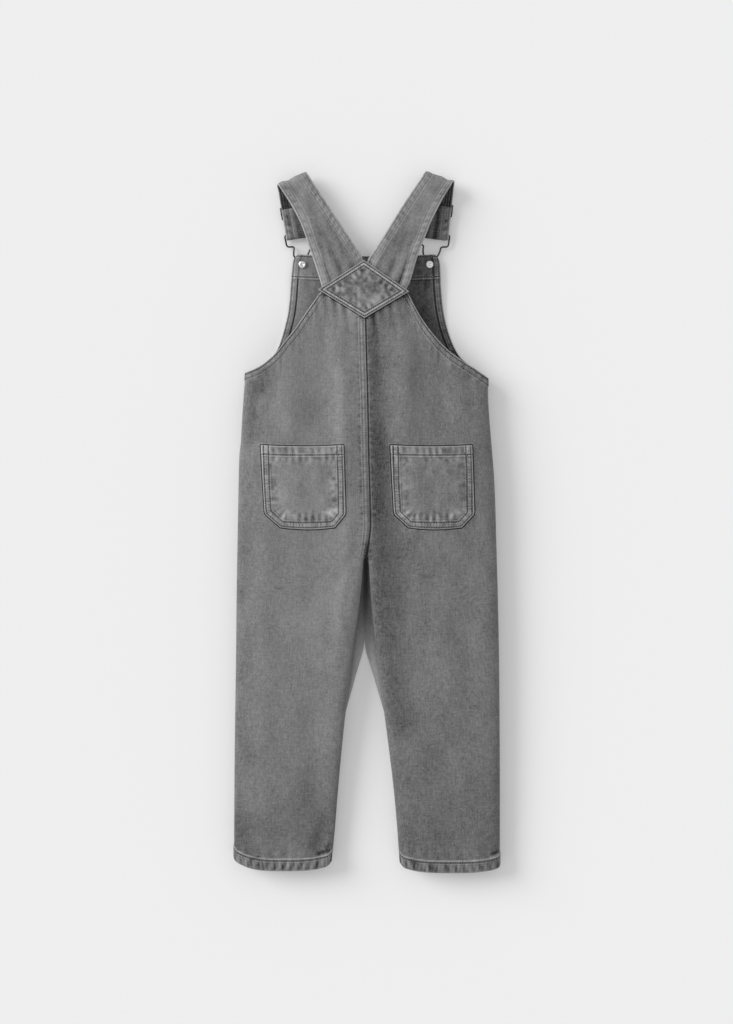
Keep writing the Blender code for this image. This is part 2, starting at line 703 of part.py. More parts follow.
def make_strap(side):
    stations = strap_stations(side)
    shares = [0, 0.25, 0.5, 0.75, 1]
    middle = [[a.lerp(b, t) for t in shares] for a, b in stations]
    outer, inner = [], []
    for i, line in enumerate(middle):
        before, after = middle[max(i - 1, 0)], middle[min(i + 1, len(middle) - 1)]
        outer_line, inner_line = [], []
        for j, point in enumerate(line):
            run = after[j] - before[j]
            across = line[-1] - line[0]
            n = across.cross(run).normalized() * (STRAP_CLOTH / 2)
            outer_line.append(point + n)
            inner_line.append(point - n)
        outer.append(outer_line)
        inner.append(inner_line)
    wall("strap_" + side, outer, inner)


def make_slider(side):
    """A plate with two slots, bent so that its middle bar stands above the strap and the outer bars below."""
    front = FrontStrap(side)
    half = SLIDE_BAR / 2
    step = SLIDE_BAR + SLIDE_SLOT
    downs = [-step - half, -step + half, -half, half, step - half, step + half]
    lows = [SLIDE_LOW, SLIDE_LOW, SLIDE_HIGH, SLIDE_HIGH, SLIDE_LOW, SLIDE_LOW]
    reach = SEAM_GAP + SLIDE_SIDE
    acrosses = [-reach, -SEAM_GAP, STRAP_WIDTH + SEAM_GAP, STRAP_WIDTH + reach]
    slots = {(1, 1), (3, 1)}
    points = [
        front.point(SLIDE_PLACE + down, across, low + lift)
        for lift in (0.0, SLIDE_THICKNESS)
        for down, low in zip(downs, lows)
        for across in acrosses
    ]
    wide = len(acrosses)

    def at(layer, i, j):
        return (layer * len(downs) + i) * wide + j

    cells = {(i, j) for i in range(len(downs) - 1) for j in range(wide - 1)} - slots
    faces = []
    for i, j in sorted(cells):
        for layer in (0, 1):
            faces.append([at(layer, i, j), at(layer, i, j + 1), at(layer, i + 1, j + 1), at(layer, i + 1, j)])
        edges = {
            (i - 1, j): ((i, j), (i, j + 1)),
            (i + 1, j): ((i + 1, j + 1), (i + 1, j)),
            (i, j - 1): ((i + 1, j), (i, j)),
            (i, j + 1): ((i, j + 1), (i + 1, j + 1)),
        }
        for beyond, (a, b) in edges.items():
            if beyond not in cells:
                faces.append([at(0, *a), at(0, *b), at(1, *b), at(1, *a)])
    solid("slider_" + side, points, faces, "steel", flat=True)


def wire_points(side):
    """The closed loop of the wire on a smooth curve, square to the strap at its bar, then to the button."""
    front = FrontStrap(side)
    bar = front.point(front.length - WIRE_BAR_ABOVE_FOLD, STRAP_WIDTH / 2, 0).to_2d()
    to_button = Vector(STRAPS[side]["button"]) - bar
    sideways, reach = to_button.dot(front.across), to_button.dot(front.down)
    stretch = (reach + WIRE_BELOW_BUTTON) / WIRE_PATH[-1][1]
    half = WIRE_PATH + [(-x, y, z) for x, y, z in WIRE_PATH[-2:0:-1]]
    knots = []
    for x, y, z in half:
        shift = sideways * smooth((y - WIRE_SHOULDER) / (WIRE_PATH[-1][1] - 2 * WIRE_SHOULDER))
        knots.append(Vector((*(bar + front.across * (x + shift) + front.down * (y * stretch)), z)))
    count = len(knots)
    points = []
    for i in range(count):
        p0, p1, p2, p3 = (knots[(i + k) % count] for k in (-1, 0, 1, 2))
        for t in (0.0, 0.5):
            points.append(
                0.5 * ((2 * p1) + (p2 - p0) * t + (2 * p0 - 5 * p1 + 4 * p2 - p3) * t**2
                       + (3 * p1 - p0 - 3 * p2 + p3) * t**3)
            )
    return points


def make_buckle(side):
    points = wire_points(side)
    curve = bpy.data.curves.new("buckle_" + side, "CURVE")
    curve.dimensions = "3D"
    curve.bevel_depth = WIRE / 2 * MM
    curve.bevel_resolution = 1
    spline = curve.splines.new("POLY")
    spline.points.add(len(points) - 1)
    for knot, p in zip(spline.points, points):
        knot.co = (*(p * MM), 1)
    spline.use_cyclic_u = True
    curve.materials.append(material("buckle_" + side, "steel"))
    obj = bpy.data.objects.new("buckle_" + side, curve)
    bpy.context.scene.collection.objects.link(obj)


def turned(name, centre, rings, look, steps=ROUND_STEPS):
    """A round solid through rings of radius and height, closed flat at both ends."""
    points, faces = [], []
    for radius, z in rings:
        for k in range(steps):
            a = 2 * math.pi * k / steps
            points.append((centre[0] + radius * math.cos(a), centre[1] + radius * math.sin(a), z))
    for i in range(len(rings) - 1):
        for k in range(steps):
            n = (k + 1) % steps
            faces.append((i * steps + k, i * steps + n, (i + 1) * steps + n, (i + 1) * steps + k))
    faces.append(tuple(range(steps - 1, -1, -1)))
    faces.append(tuple((len(rings) - 1) * steps + k for k in range(steps)))
    return solid(name, points, faces, look)


def make_button(side):
    centre = STRAPS[side]["button"]
    turned("button_" + side, centre, BUTTON_RINGS, "nickel")
    turned("tack_" + side, centre, TACK_RINGS, "nickel")


def main():
    clear_scene()
    panels = [make_back(side) for side in ("left", "right")]
    for side, panel in zip(("left", "right"), panels):
        make_front(side)
        make_pocket(side, panel)
        make_strap(side)
        make_slider(side)
        make_buckle(side)
        make_button(side)
    make_bib()
    make_yoke(panels)


main()
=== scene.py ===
"""A child's bib dungarees in washed grey denim, laid flat with the back up.

The cloth pieces repeat the forms of the CAD solids at a finer grid and add the
rolled edges, sunk seams, puckers, small creases and stitches. +X is the
right-hand side seen from above, +Y runs from the hems to the shoulders and +Z
is up. Tables and named sizes are millimetres until a mesh is made.
"""

import math

import bmesh
import bpy
import numpy as np
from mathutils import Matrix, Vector
from mathutils.bvhtree import BVHTree


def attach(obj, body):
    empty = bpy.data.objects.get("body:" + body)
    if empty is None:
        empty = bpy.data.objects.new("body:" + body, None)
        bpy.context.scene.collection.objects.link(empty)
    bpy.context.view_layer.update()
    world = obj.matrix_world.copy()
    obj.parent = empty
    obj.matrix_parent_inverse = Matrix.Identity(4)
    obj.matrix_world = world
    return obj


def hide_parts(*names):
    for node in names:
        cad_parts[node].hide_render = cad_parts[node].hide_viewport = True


bl_info = {
    "name": "Denim dungarees",
    "version": (1, 0, 0),
    "blender": (4, 5, 0),
    "location": "3D View > Sidebar > Dungarees",
    "description": "Makes a pair of child's denim dungarees, laid flat, around its CAD frame",
    "category": "Object",
}

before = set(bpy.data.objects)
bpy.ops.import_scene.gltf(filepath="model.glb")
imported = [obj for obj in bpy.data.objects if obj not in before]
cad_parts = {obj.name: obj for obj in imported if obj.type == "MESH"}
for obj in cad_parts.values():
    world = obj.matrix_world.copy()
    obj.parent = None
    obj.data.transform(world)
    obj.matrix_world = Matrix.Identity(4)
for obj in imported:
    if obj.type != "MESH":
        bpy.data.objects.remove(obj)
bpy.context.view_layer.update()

MM = 0.001
SIDES = ("left", "right")
OUTWARD = {"left": -1, "right": 1}
SEEDS = {  # where each piece's random draws start
    "back": {"left": 11, "right": 31},
    "front": {"left": 51, "right": 71},
    "pocket": {"left": 111, "right": 131},
    "strap": {"left": 171, "right": 191},
}

# Cloth and seams
CLOTH = 1.2
STRAP_CLOTH = 1.8
SEAM_GAP = 0.3
SCENE_GAP = 0.06
FACING_RAISE = 0.8
FACING_WIDTH = 8.5
FELL_RAISE = 0.7
HEM_DEPTH = 14.0

# Outline of the two halves, seen from above
YOKE_Y = 277.4
CROTCH_Y = -41.0
WAIST_Y = 152.0
POCKET_TOP_Y = 91.2
POCKET_FOOT_Y = -6.4
CENTRE_SEAM = [  # y, x
    (330, -3.4), (277, -3.2), (240, -2.6), (125, 0.4), (91, 0.9), (26, 2.8), (-4, 3.4), (-25, 1.6),
    (-41, -0.8),
]
INSEAM = {  # y, x below the crotch
    "left": [(-41, -1.2), (-46, -3.4), (-70, -5.4), (-94, -7.9), (-115, -10.4), (-151, -16.0),
             (-185, -20.4), (-232, -26.0), (-277, -30.6), (-323, -34.8), (-370, -38.6), (-393, -40.9),
             (-420, -43.6)],
    "right": [(-41, -0.4), (-46, 1.0), (-70, 2.6), (-94, 4.3), (-115, 6.4), (-151, 10.0), (-185, 14.6),
              (-232, 21.0), (-277, 26.8), (-323, 32.2), (-370, 36.4), (-393, 38.0), (-420, 40.0)],
}
SIDE_SEAM = {  # y, x
    "left": [(300, -141.0), (178, -146.0), (151, -148.0), (122, -150.0), (96, -151.4), (79, -153.2),
             (50, -154.0), (-22, -155.4), (-94, -156.6), (-166, -157.3), (-238, -158.4), (-310, -159.2),
             (-420, -159.8)],
    "right": [(300, 141.0), (171, 145.2), (151, 145.4), (122, 147.0), (93, 149.4), (50, 152.8), (21, 154.0),
              (-22, 155.2), (-94, 157.2), (-166, 158.6), (-238, 159.2), (-310, 159.6), (-420, 159.6)],
}
BACK_ARMHOLE = {  # x, y from the yoke to the side seam
    "left": [(-50.0, 277.4), (-55.7, 273.6), (-64.0, 262.5), (-75.4, 246.4), (-84.6, 232.6), (-96.0, 218.4),
             (-107.5, 203.6), (-116.8, 194.2), (-130.4, 184.6), (-146.0, 178.0)],
    "right": [(44.0, 277.4), (49.7, 271.6), (55.4, 260.6), (64.7, 244.0), (76.1, 228.1), (87.6, 214.3),
              (99.1, 203.2), (114.0, 192.4), (128.9, 182.8), (145.2, 171.4)],
}
BIB_SIDE = {  # y, x from the bib's top corner to the waist seam
    "left": [(321.4, -86.6), (318.5, -88.0), (309.7, -89.6), (286.4, -91.6), (266, -93.2), (251.7, -95.0),
             (237.3, -98.2), (222.9, -102.2), (208.5, -107.4), (197.7, -113.8), (189, -124.5),
             (182, -136.0), (178, -146.0), (165, -147.0), (152, -148.0)],
    "right": [(321.4, 84.8), (318.5, 86.2), (309.7, 87.6), (286.4, 88.6), (266, 90.2), (251.7, 92.2),
              (237.3, 95.2), (222.9, 99.6), (208.5, 105.6), (197.7, 112.0), (189, 121.5), (180, 133.0),
              (171.4, 145.0), (165, 145.2), (152, 145.4)],
}
HEM_EDGE = {  # y at the inseam, in the middle and at the side seam
    "left": (-411.0, -417.6, -405.0),
    "right": (-412.5, -420.0, -414.0),
}

# Heights along the length: y, top of the back, height of the side seams, and how far the two halves are
# one level sheet at the centre seam (1) or two separate tubes (0)
LEVELS = [
    (330, 25.6, 13.0, 1.00),
    (277, 26.6, 13.0, 1.00),
    (200, 29.0, 13.5, 0.98),
    (100, 32.0, 14.0, 0.93),
    (40, 33.0, 14.0, 0.90),
    (0, 33.0, 14.0, 0.84),
    (-24, 32.6, 14.0, 0.72),
    (-35, 32.4, 14.0, 0.45),
    (-41, 32.2, 14.0, 0.00),
    (-120, 31.6, 13.6, 0.00),
    (-240, 29.5, 12.8, 0.00),
    (-340, 27.0, 11.8, 0.00),
    (-420, 25.0, 11.0, 0.00),
]
TOP_ROUNDNESS = 4.4
INNER_ROUNDNESS = [  # y, power
    (330, 4.4), (60, 4.4), (0, 6.0), (-60, 9.0), (-160, 7.0), (-300, 4.4), (-420, 4.4),
]
UNDER_ROUNDNESS = 4.5
RESTING_SHARE = 0.93

# Largest soft folds of the back: start, end, half width and height (a trough is negative)
FOLDS = [
    (13, 240, 19, 140, 12, -4.0),
    (19, 140, 30, 70, 15, -5.5),
    (30, 70, 42, -24, 20, -7.0),
    (42, -24, 52, -130, 20, -7.0),
    (52, -130, 58, -260, 20, -4.2),
    (-32, 236, -29, 80, 13, 2.2),
    (-29, 80, -28, -140, 13, 2.6),
    (-126, 178, -139, 84, 9, -2.6),
    (-100, 196, -92, 100, 16, 1.8),
    (-62, 176, -58, 100, 14, -1.6),
    (43, 232, 48, 140, 14, 2.2),
    (78, 206, 88, 104, 16, -1.6),
    (-139, -10, -143, -100, 10, -1.5),
    (-119, 4, -127, -150, 14, 1.5),
    (-60, -16, -68, -104, 15, -2.0),
    (-126, -214, -126, -340, 16, 1.4),
    (-66, -226, -52, -396, 22, -4.6),
    (88, -112, 108, -262, 16, 1.5),
    (118, -60, 124, -180, 14, -1.4),
    (96, -268, 102, -396, 16, -1.8),
]

# Bib: y, height of its underside above the surface; it rises to pass over the buttons and the wire
BIB_LIFT = [(330, 5.7), (300, 5.7), (285, 4.7), (262, 2.4), (240, 0.7), (224, 0.0), (140, 0.0)]
BIB_RISE = [(330, 0.0), (214, 0.0), (196, 0.35), (180, 1.0), (140, 1.0)]
BIB_TOP_Y = 321.4
BIB_TOP_DIP = 2.2
BIB_BAND = 28.5

# Pockets: rows of y, inner x, outer x
POCKETS = {
    "left": [(91.2, -28.2, -126.4), (48, -27.0, -124.0), (12, -25.8, -121.8), (8.5, -26.4, -120.2),
             (-6.4, -38.4, -103.2)],
    "right": [(91.2, 125.2, 28.4), (48, 126.6, 30.6), (12, 127.8, 32.6), (8.5, 127.0, 33.6),
              (-6.4, 113.0, 49.6)],
}
POCKET_FULLNESS = 1.3
POCKET_SAG = 2.3
MOUTH_DIP = 1.5

# Yoke: corners of the diamond, and the raised rim inside its edge
YOKE_LEFT, YOKE_TOP = (-57.8, 277.4), (-3.6, 312.4)
YOKE_RIGHT, YOKE_BOTTOM = (50.0, 275.2), (-2.8, 243.8)
YOKE_CORNERS = [YOKE_LEFT, YOKE_TOP, YOKE_RIGHT, YOKE_BOTTOM]
YOKE_CLOTH = 1.7
YOKE_RIM = 5.4

# Straps: edges of the back part from the shoulder to the yoke, then the front part below it
STRAP_WIDTH = 35.7
STRAPS = {
    "left": {
        "outer": [(-107.6, 405.0), (-92.5, 382.5), (-79.6, 358.5), (-70.7, 333.5), (-62.6, 309.7),
                  (-55.4, 287.0), (-53.0, 277.8)],
        "inner": [(-73.8, 419.6), (-60.0, 398.9), (-45.5, 377.0), (-31.5, 355.9), (-19.0, 337.0),
                  (-6.5, 318.0), (-4.6, 277.8)],
        "front_end": (-96.4, 338.0),
        "button": (-77.6, 309.2),
    },
    "right": {
        "outer": [(104.9, 408.6), (91.6, 388.5), (77.6, 361.5), (69.4, 341.0), (61.2, 320.6), (51.8, 289.0),
                  (46.4, 277.8)],
        "inner": [(71.4, 420.0), (57.2, 400.0), (43.0, 378.8), (28.6, 355.6), (14.4, 333.2), (1.4, 313.2),
                  (-2.0, 277.8)],
        "front_end": (97.2, 338.0),
        "button": (75.2, 309.2),
    },
}
SHOULDER_TOP = 21.8
SHOULDER_RADIUS = 7.4
MAIN_LAYER = 3.1
RETURN_LAYER = 7.5
OVER_BAR_LAYER = 9.3
UNDER_BAR_LAYER = 5.2
LOOP_RADIUS = (RETURN_LAYER - MAIN_LAYER) / 2
STRAP_LEVEL_Y = 296.0
STRAP_SHOULDER_Y = 398.0
SHOULDER_STEPS = 8
LOOP_STEPS = 6
WRAP_STEPS = 5
SHOULDER_DESCENT = [(16.0, 0.75), (21.0, 0.35), (26.0, 0.0)]  # distance down the front, share of the fall
RETURN_CLIMB = [(17.5, 7.9), (8.5, 8.9), (4.0, 9.3)]  # distance below the slide, height
WRAP_BEFORE_BAR = 1.2
STRAP_TAIL = 6.0

# Slide: three flat bars in a bent plate, placed along the strap from the shoulder fold's outer corner
SLIDE_PLACE = 34.5
SLIDE_BAR = 2.5
SLIDE_SLOT = 3.6
SLIDE_THICKNESS = 1.6
SLIDE_SIDE = 1.7
SLIDE_LOW = 0.3
SLIDE_HIGH = 6.5
SLIDE_EDGE = 0.42

# Wire buckle: half width, distance from the wire's top bar, and height, down one side of the loop
WIRE = 2.0
WIRE_PATH = [
    (0.0, 0.0, 5.3), (9.0, 0.0, 5.3), (17.2, 0.0, 5.3), (19.4, 1.6, 5.2), (19.3, 6.0, 5.0),
    (19.0, 11.4, 4.7), (17.0, 13.4, 4.5), (12.8, 14.0, 4.4), (10.6, 15.4, 4.3), (10.2, 19.0, 4.3),
    (8.8, 24.4, 4.3), (5.6, 30.0, 4.3), (4.5, 34.8, 4.3), (4.1, 37.8, 4.3), (2.4, 39.9, 4.3),
    (0.0, 40.4, 4.3),
]
WIRE_BAR_ABOVE_FOLD = 6.6
WIRE_SHOULDER = 13.4
WIRE_BELOW_BUTTON = 4.5

# Bib buttons and their tacks: radius and height of each ring, from the surface up
BUTTON_RINGS = [
    (0, 0.25), (5.6, 0.2), (6.6, 0.0), (7.3, 0.1), (8.0, 0.45), (8.5, 1.0), (8.6, 1.6), (8.4, 2.2),
    (7.7, 2.75), (6.8, 2.9), (3.3, 3.0), (3.0, 3.2), (3.0, 5.2), (2.6, 5.35), (0, 5.35),
]
TACK_RINGS = [
    (0, 5.65), (1.0, 5.65), (1.0, 9.0), (3.8, 9.1), (4.4, 9.3), (4.6, 9.7), (4.45, 10.2), (4.0, 10.65),
    (3.3, 10.95), (2.6, 11.05), (2.1, 11.0), (1.75, 10.8), (1.45, 10.35), (1.2, 9.9), (0.7, 9.7), (0, 9.65),
]


# Reading the tables, for whole arrays of places at once

def smooth(t):
    t = np.clip(t, 0.0, 1.0)
    return t * t * (3 - 2 * t)


def between(a, b, t):
    return a + (b - a) * t


def bump_at(d, width):
    """1 on a line and fading to nothing at about twice this width from it."""
    return np.exp(-((d / width) ** 2))


def on_curve(values, tangents, i, span, t):
    """The smooth curve through rows of values, at a share t of the span that begins at row i."""
    return (
        values[i] * (1 + 2 * t) * (1 - t) ** 2
        + tangents[i] * span * t * (1 - t) ** 2
        + values[i + 1] * t * t * (3 - 2 * t)
        + tangents[i + 1] * span * t * t * (t - 1)
    )


def along(table, at, column=1, key=0):
    """The table's column at these values of its key column, on a smooth curve through the rows."""
    rows = sorted(table, key=lambda row: row[key])
    keys = np.array([row[key] for row in rows], float)
    values = np.array([row[column] for row in rows], float)
    at = np.clip(np.asarray(at, float), keys[0], keys[-1])
    slopes = np.diff(values) / np.diff(keys)
    tangents = np.empty_like(values)
    tangents[0], tangents[-1] = slopes[0], slopes[-1]
    left, right = slopes[:-1], slopes[1:]
    level = left * right <= 0
    tangents[1:-1] = np.where(level, 0.0, 2 * left * right / np.where(level, 1.0, left + right))
    i = np.clip(np.searchsorted(keys, at, side="right") - 1, 0, len(keys) - 2)
    span = keys[i + 1] - keys[i]
    return on_curve(values, tangents, i, span, (at - keys[i]) / span)


def inner_x(side, y):
    """The centre seam above the crotch, with its gap, and the inseam below it."""
    seam = along(CENTRE_SEAM, y) + OUTWARD[side] * SCENE_GAP / 2
    return np.where(y < CROTCH_Y, along(INSEAM[side], y), seam)


def column_x(side, u, y):
    """The x of a place that lies this share of the way from the centre seam or inseam to the side seam."""
    return between(inner_x(side, y), along(SIDE_SEAM[side], y), u)


def armhole_y(side, x):
    """The y of a back's top edge: level under the yoke, then down the armhole."""
    return np.where(np.abs(x) < abs(BACK_ARMHOLE[side][0][0]), YOKE_Y, along(BACK_ARMHOLE[side], x))


def hem_y(side, s):
    """The y of a hem from its inseam (-1) to its side seam (1), both of its corners drawn up a little."""
    inseam, middle, side_seam = HEM_EDGE[side]
    corner = np.where(s < 0, 0.13, 0.08)
    turned = np.where(s < 0, 6.0, 3.6) * np.clip((np.abs(s) - 1 + corner) / corner, 0, 1) ** 2.5
    return between(middle, np.where(s < 0, inseam, side_seam), np.abs(s) ** 3.2) + turned


def roundness(s, power):
    return np.clip(1 - np.abs(s) ** power, 0.0, 1.0) ** (1 / power)


def swell(s, y, power):
    """How full a panel stands from its inner seam (-1) to its side seam (1); above the crotch the two
    halves join in one level sheet."""
    full = roundness(s, power)
    joined = along(LEVELS, y, 3)
    return np.where(s < 0, 1 - (1 - joined) * (1 - full), full)


def creases(x, y, table):
    """Height of soft folds at each point, or with the painted light and shade table how much lighter or
    darker the colour is: ridges and troughs along straight lines with faded ends.
    """
    total = np.zeros(np.broadcast(x, y).shape)
    for x0, y0, x1, y1, half, height in table:
        length = math.hypot(x1 - x0, y1 - y0)
        ux, uy = (x1 - x0) / length, (y1 - y0) / length
        t = (x - x0) * ux + (y - y0) * uy
        off = (x - x0) * uy - (y - y0) * ux
        fade = smooth((t + half) / (2 * half)) * smooth((length + half - t) / (2 * half))
        total = total + height * fade * np.exp(-((off / half) ** 2))
    return total


RIPPLES = 4096
PATCHES = 256


def ripple(t, wave, seed):
    """An uneven wave from -1 to 1 along a line, one hump or hollow to each half wave."""
    rng = np.random.default_rng(seed)
    knots = rng.uniform(0.25, 1.0, RIPPLES) * np.where(np.arange(RIPPLES) % 2, 1, -1)
    knots = knots * np.where(rng.uniform(size=RIPPLES) < 0.14, -0.4, 1)
    place = np.asarray(t, float) / (wave / 2) + RIPPLES // 2
    i = np.floor(place).astype(int)
    return between(knots[i % RIPPLES], knots[(i + 1) % RIPPLES], smooth(place - i))


def mottle(x, y, size, seed):
    """Soft uneven patches from -1 to 1, of about this size."""
    knots = np.random.default_rng(seed).uniform(-1, 1, (PATCHES, PATCHES))
    px, py = x / size + PATCHES // 2, y / size + PATCHES // 2
    i, j = np.floor(px).astype(int), np.floor(py).astype(int)
    a, b = smooth(px - i), smooth(py - j)
    i, j, next_i, next_j = i % PATCHES, j % PATCHES, (i + 1) % PATCHES, (j + 1) % PATCHES
    low = between(knots[i, j], knots[next_i, j], a)
    high = between(knots[i, next_j], knots[next_i, next_j], a)
    return between(low, high, b)


def step_down(d, edge, width=0.9):
    """1 up to an edge, falling to 0 across this width beyond it."""
    return 1 - smooth((d - edge) / width)


def spaced(parts):
    """Places along a line from runs of (start, end, spacing)."""
    runs = [np.linspace(a, b, max(2, round(abs(b - a) / step) + 1))[:-1] for a, b, step in parts]
    return np.concatenate(runs + [np.array([float(parts[-1][1])])])


def shares(width, margins, fine, coarse):
    """Shares of a width from 0 to 1, with fine spacing in the margins at its two ends."""
    first, last = margins[0], width - margins[1]
    return spaced([(0, first, fine), (first, last, coarse), (last, width, fine)]) / width


def arc_length(*axes):
    """The distance run at each point of a line, from an array for each of its axes."""
    steps = np.sqrt(sum(np.diff(axis) ** 2 for axis in axes))
    return np.concatenate([[0.0], np.cumsum(steps)])


def lifted(grid, height):
    moved = grid.copy()
    moved[..., 2] += height
    return moved


def placed(name, data):
    """A new object for this mesh, curve, light or camera, in the scene."""
    obj = bpy.data.objects.new(name, data)
    bpy.context.scene.collection.objects.link(obj)
    return obj


# Node trees

class Value:
    """A number flowing between nodes, so that shader maths reads as ordinary arithmetic."""

    def __init__(self, nodes, socket):
        self.nodes = nodes
        self.socket = socket

    def maths(self, operation, first, second=None):
        inputs = {0: first} if second is None else {0: first, 1: second}
        node = self.nodes.add("ShaderNodeMath", {"operation": operation}, inputs)
        return Value(self.nodes, node.outputs["Value"])

    def __add__(self, other):
        return self.maths("ADD", self, other)

    def __radd__(self, other):
        return self.maths("ADD", other, self)

    def __sub__(self, other):
        return self.maths("SUBTRACT", self, other)

    def __rsub__(self, other):
        return self.maths("SUBTRACT", other, self)

    def __mul__(self, other):
        return self.maths("MULTIPLY", self, other)

    def __rmul__(self, other):
        return self.maths("MULTIPLY", other, self)

    def sine(self):
        return self.maths("SINE", self)

    def size(self):
        return self.maths("ABSOLUTE", self)

    def at_least(self, floor):
        return self.maths("MAXIMUM", self, floor)


class Nodes:
    """Adds nodes to a tree: the settings are set first, then the sockets get their values or links.

    A node given for a socket stands for its first live output."""

    def __init__(self, tree):
        self.tree = tree

    def add(self, kind, settings=None, inputs=None):
        node = self.tree.nodes.new(kind)
        for label, setting in (settings or {}).items():
            setattr(node, label, setting)
        for label, given in (inputs or {}).items():
            socket = node.inputs[label]
            if isinstance(given, Value):
                given = given.socket
            elif isinstance(given, bpy.types.Node):
                given = next(output for output in given.outputs if output.enabled)
            if isinstance(given, bpy.types.NodeSocket):
                self.tree.links.new(given, socket)
            else:
                socket.default_value = given
        return node

    def value(self, socket):
        return Value(self, socket)

    def attribute(self, label):
        return self.value(self.add("ShaderNodeAttribute", {"attribute_name": label}).outputs["Fac"])

    def noise(self, place, across, along_it, detail=2.0, roughness=0.5):
        """Noise from about -1 to 1 with this many patches to the metre across and along the cloth."""
        spread = self.add(
            "ShaderNodeVectorMath", {"operation": "MULTIPLY"}, {0: place, 1: (across, along_it, across)}
        )
        made = self.add(
            "ShaderNodeTexNoise", {"noise_dimensions": "3D"},
            {"Vector": spread, "Scale": 1.0, "Detail": detail, "Roughness": roughness},
        )
        return (self.value(made.outputs["Fac"]) - 0.5) * 2.0


def material(name, look):
    """The named material, which its look fills in the first time that it is asked for."""
    found = bpy.data.materials.get(name)
    if found:
        return found
    made = bpy.data.materials.new(name)
    made.use_nodes = True
    look(Nodes(made.node_tree), made.node_tree.nodes["Principled BSDF"])
    return made


def surface(n, shader, colour, tone, roughness, bump, constants):
    """Feeds a shader a colour times a tone, a roughness, a bump (strength, depth, height) and constants."""
    strength, depth, height = bump
    tinted = n.add("ShaderNodeVectorMath", {"operation": "SCALE"}, {0: tuple(colour[:3]), "Scale": tone})
    bumped = n.add("ShaderNodeBump", {}, {"Strength": strength, "Distance": depth * MM, "Height": height})
    n.tree.links.new(tinted.outputs["Vector"], shader.inputs["Base Color"])
    n.tree.links.new(roughness.socket, shader.inputs["Roughness"])
    n.tree.links.new(bumped.outputs["Normal"], shader.inputs["Normal"])
    set_sockets(shader, constants)


def set_sockets(node, constants):
    for label, number in constants.items():
        node.inputs[label].default_value = number


def line(distance, width):
    """1 on a line and falling to 0 at this distance from it."""
    peak = (1.0 - distance.size() * (1.0 / width)).at_least(0.0)
    return peak * peak * (3.0 - 2.0 * peak)


# Materials

DARKEST_TONE = 0.12
TWILL = 1.15 * MM
YARN = 0.62 * MM
TWILL_SLOPE = 0.62
CHANNEL_WIDTH = 1.1
RUBBED_OFF = 1.7


def weave_denim(n, shader):
    """Light flecks and dark warp streaks, a fine twill, wear from the sewing, and the painted light and
    shade that each piece carries in its fade.
    """
    cloth = bpy.context.scene.dungarees_cloth
    place = n.add("ShaderNodeUVMap", {"uv_map": "cloth"}).outputs["UV"]
    fade, lining, row_1, row_2, edge = map(n.attribute, ("fade", "lining", "row_1", "row_2", "edge"))
    streaks = n.noise(place, 380, 60, 3.0, 0.6)
    fine_streaks = n.noise(place, 620, 210, 2.0, 0.55)
    slubs = n.noise(place, 90, 460, 2.0, 0.5)
    grain = n.noise(place, 480, 430, 2.0, 0.65)
    blotches = n.noise(place, 190, 130, 2.0, 0.6)
    clouds = n.noise(place, 34, 20, 3.0, 0.55)
    broad = n.noise(place, 9, 6, 2.0, 0.5)
    across = n.add("ShaderNodeSeparateXYZ", {}, {0: place})
    warp = n.value(across.outputs["X"])
    diagonal = warp + n.value(across.outputs["Y"]) * TWILL_SLOPE
    twill = ((diagonal + 0.12 * MM * grain) * (2 * math.pi / TWILL)).sine()
    yarn = (warp * (2 * math.pi / YARN)).sine()
    texture = (
        0.16 * streaks + 0.18 * fine_streaks + 0.13 * slubs + 0.26 * grain + 0.16 * blotches
        + 0.16 * clouds + 0.06 * broad + 0.03 * twill
    )
    # Seam channels painted darker: partly dye kept in the sunk seams, partly painted shade in the grooves.
    sunk = line(row_1, CHANNEL_WIDTH) + line(row_2, CHANNEL_WIDTH)
    rubbed = line(row_1.size() - RUBBED_OFF, 0.9) + line(row_2.size() - RUBBED_OFF, 0.9)
    worn_edge = line(edge, 1.5)
    sewing = (0.7 * rubbed - 1.8 * sunk) * (1.0 + 0.9 * slubs) + 1.3 * worn_edge * (1.0 + 0.8 * slubs)
    # fade brings in each piece's painted light and shade as well as its wear.
    tone = 1.0 + cloth.texture * texture + cloth.wear_and_painted_shade * (fade + sewing) + 0.1 * lining
    weave = 0.4 * twill + 0.1 * yarn + 0.9 * grain + 0.5 * fine_streaks + 0.3 * slubs - 1.6 * sunk
    surface(
        n, shader, cloth.colour, tone.at_least(DARKEST_TONE), 0.88 + 0.05 * grain, (0.55, 0.16, weave),
        {"Specular IOR Level": 0.25, "Sheen Weight": 0.12, "Sheen Roughness": 0.5},
    )


def twist_thread(n, shader):
    """Sewing thread a little lighter than the cloth, twisted from two plies."""
    sewing = bpy.context.scene.dungarees_sewing
    place = n.add("ShaderNodeTexCoord").outputs["Object"]
    worn = n.noise(place, 90, 90, 2.0)
    ply = n.noise(place, 2400, 2400, 1.0)
    tone = 1.0 + 0.16 * worn + 0.12 * ply
    surface(
        n, shader, sewing.colour, tone, 0.7 + 0.08 * ply, (0.5, 0.1, ply), {"Sheen Weight": 0.15}
    )


def metal(name, colour, roughness, stain):
    """Plated metal with fine rubbing marks and faint stains."""
    def plate(n, shader):
        place = n.add("ShaderNodeTexCoord").outputs["Object"]
        rubbing = n.noise(place, 1400, 300, 3.0, 0.6)
        stains = n.noise(place, 160, 160, 3.0, 0.6)
        tone = 1.0 + stain * stains + 0.05 * rubbing
        surface(
            n, shader, colour, tone, roughness + 0.07 * stains + 0.05 * rubbing, (0.25, 0.05, rubbing),
            {"Metallic": 1.0},
        )

    return material(name, plate)


def denim():
    return material("washed grey denim", weave_denim)


def thread():
    return material("grey sewing thread", twist_thread)


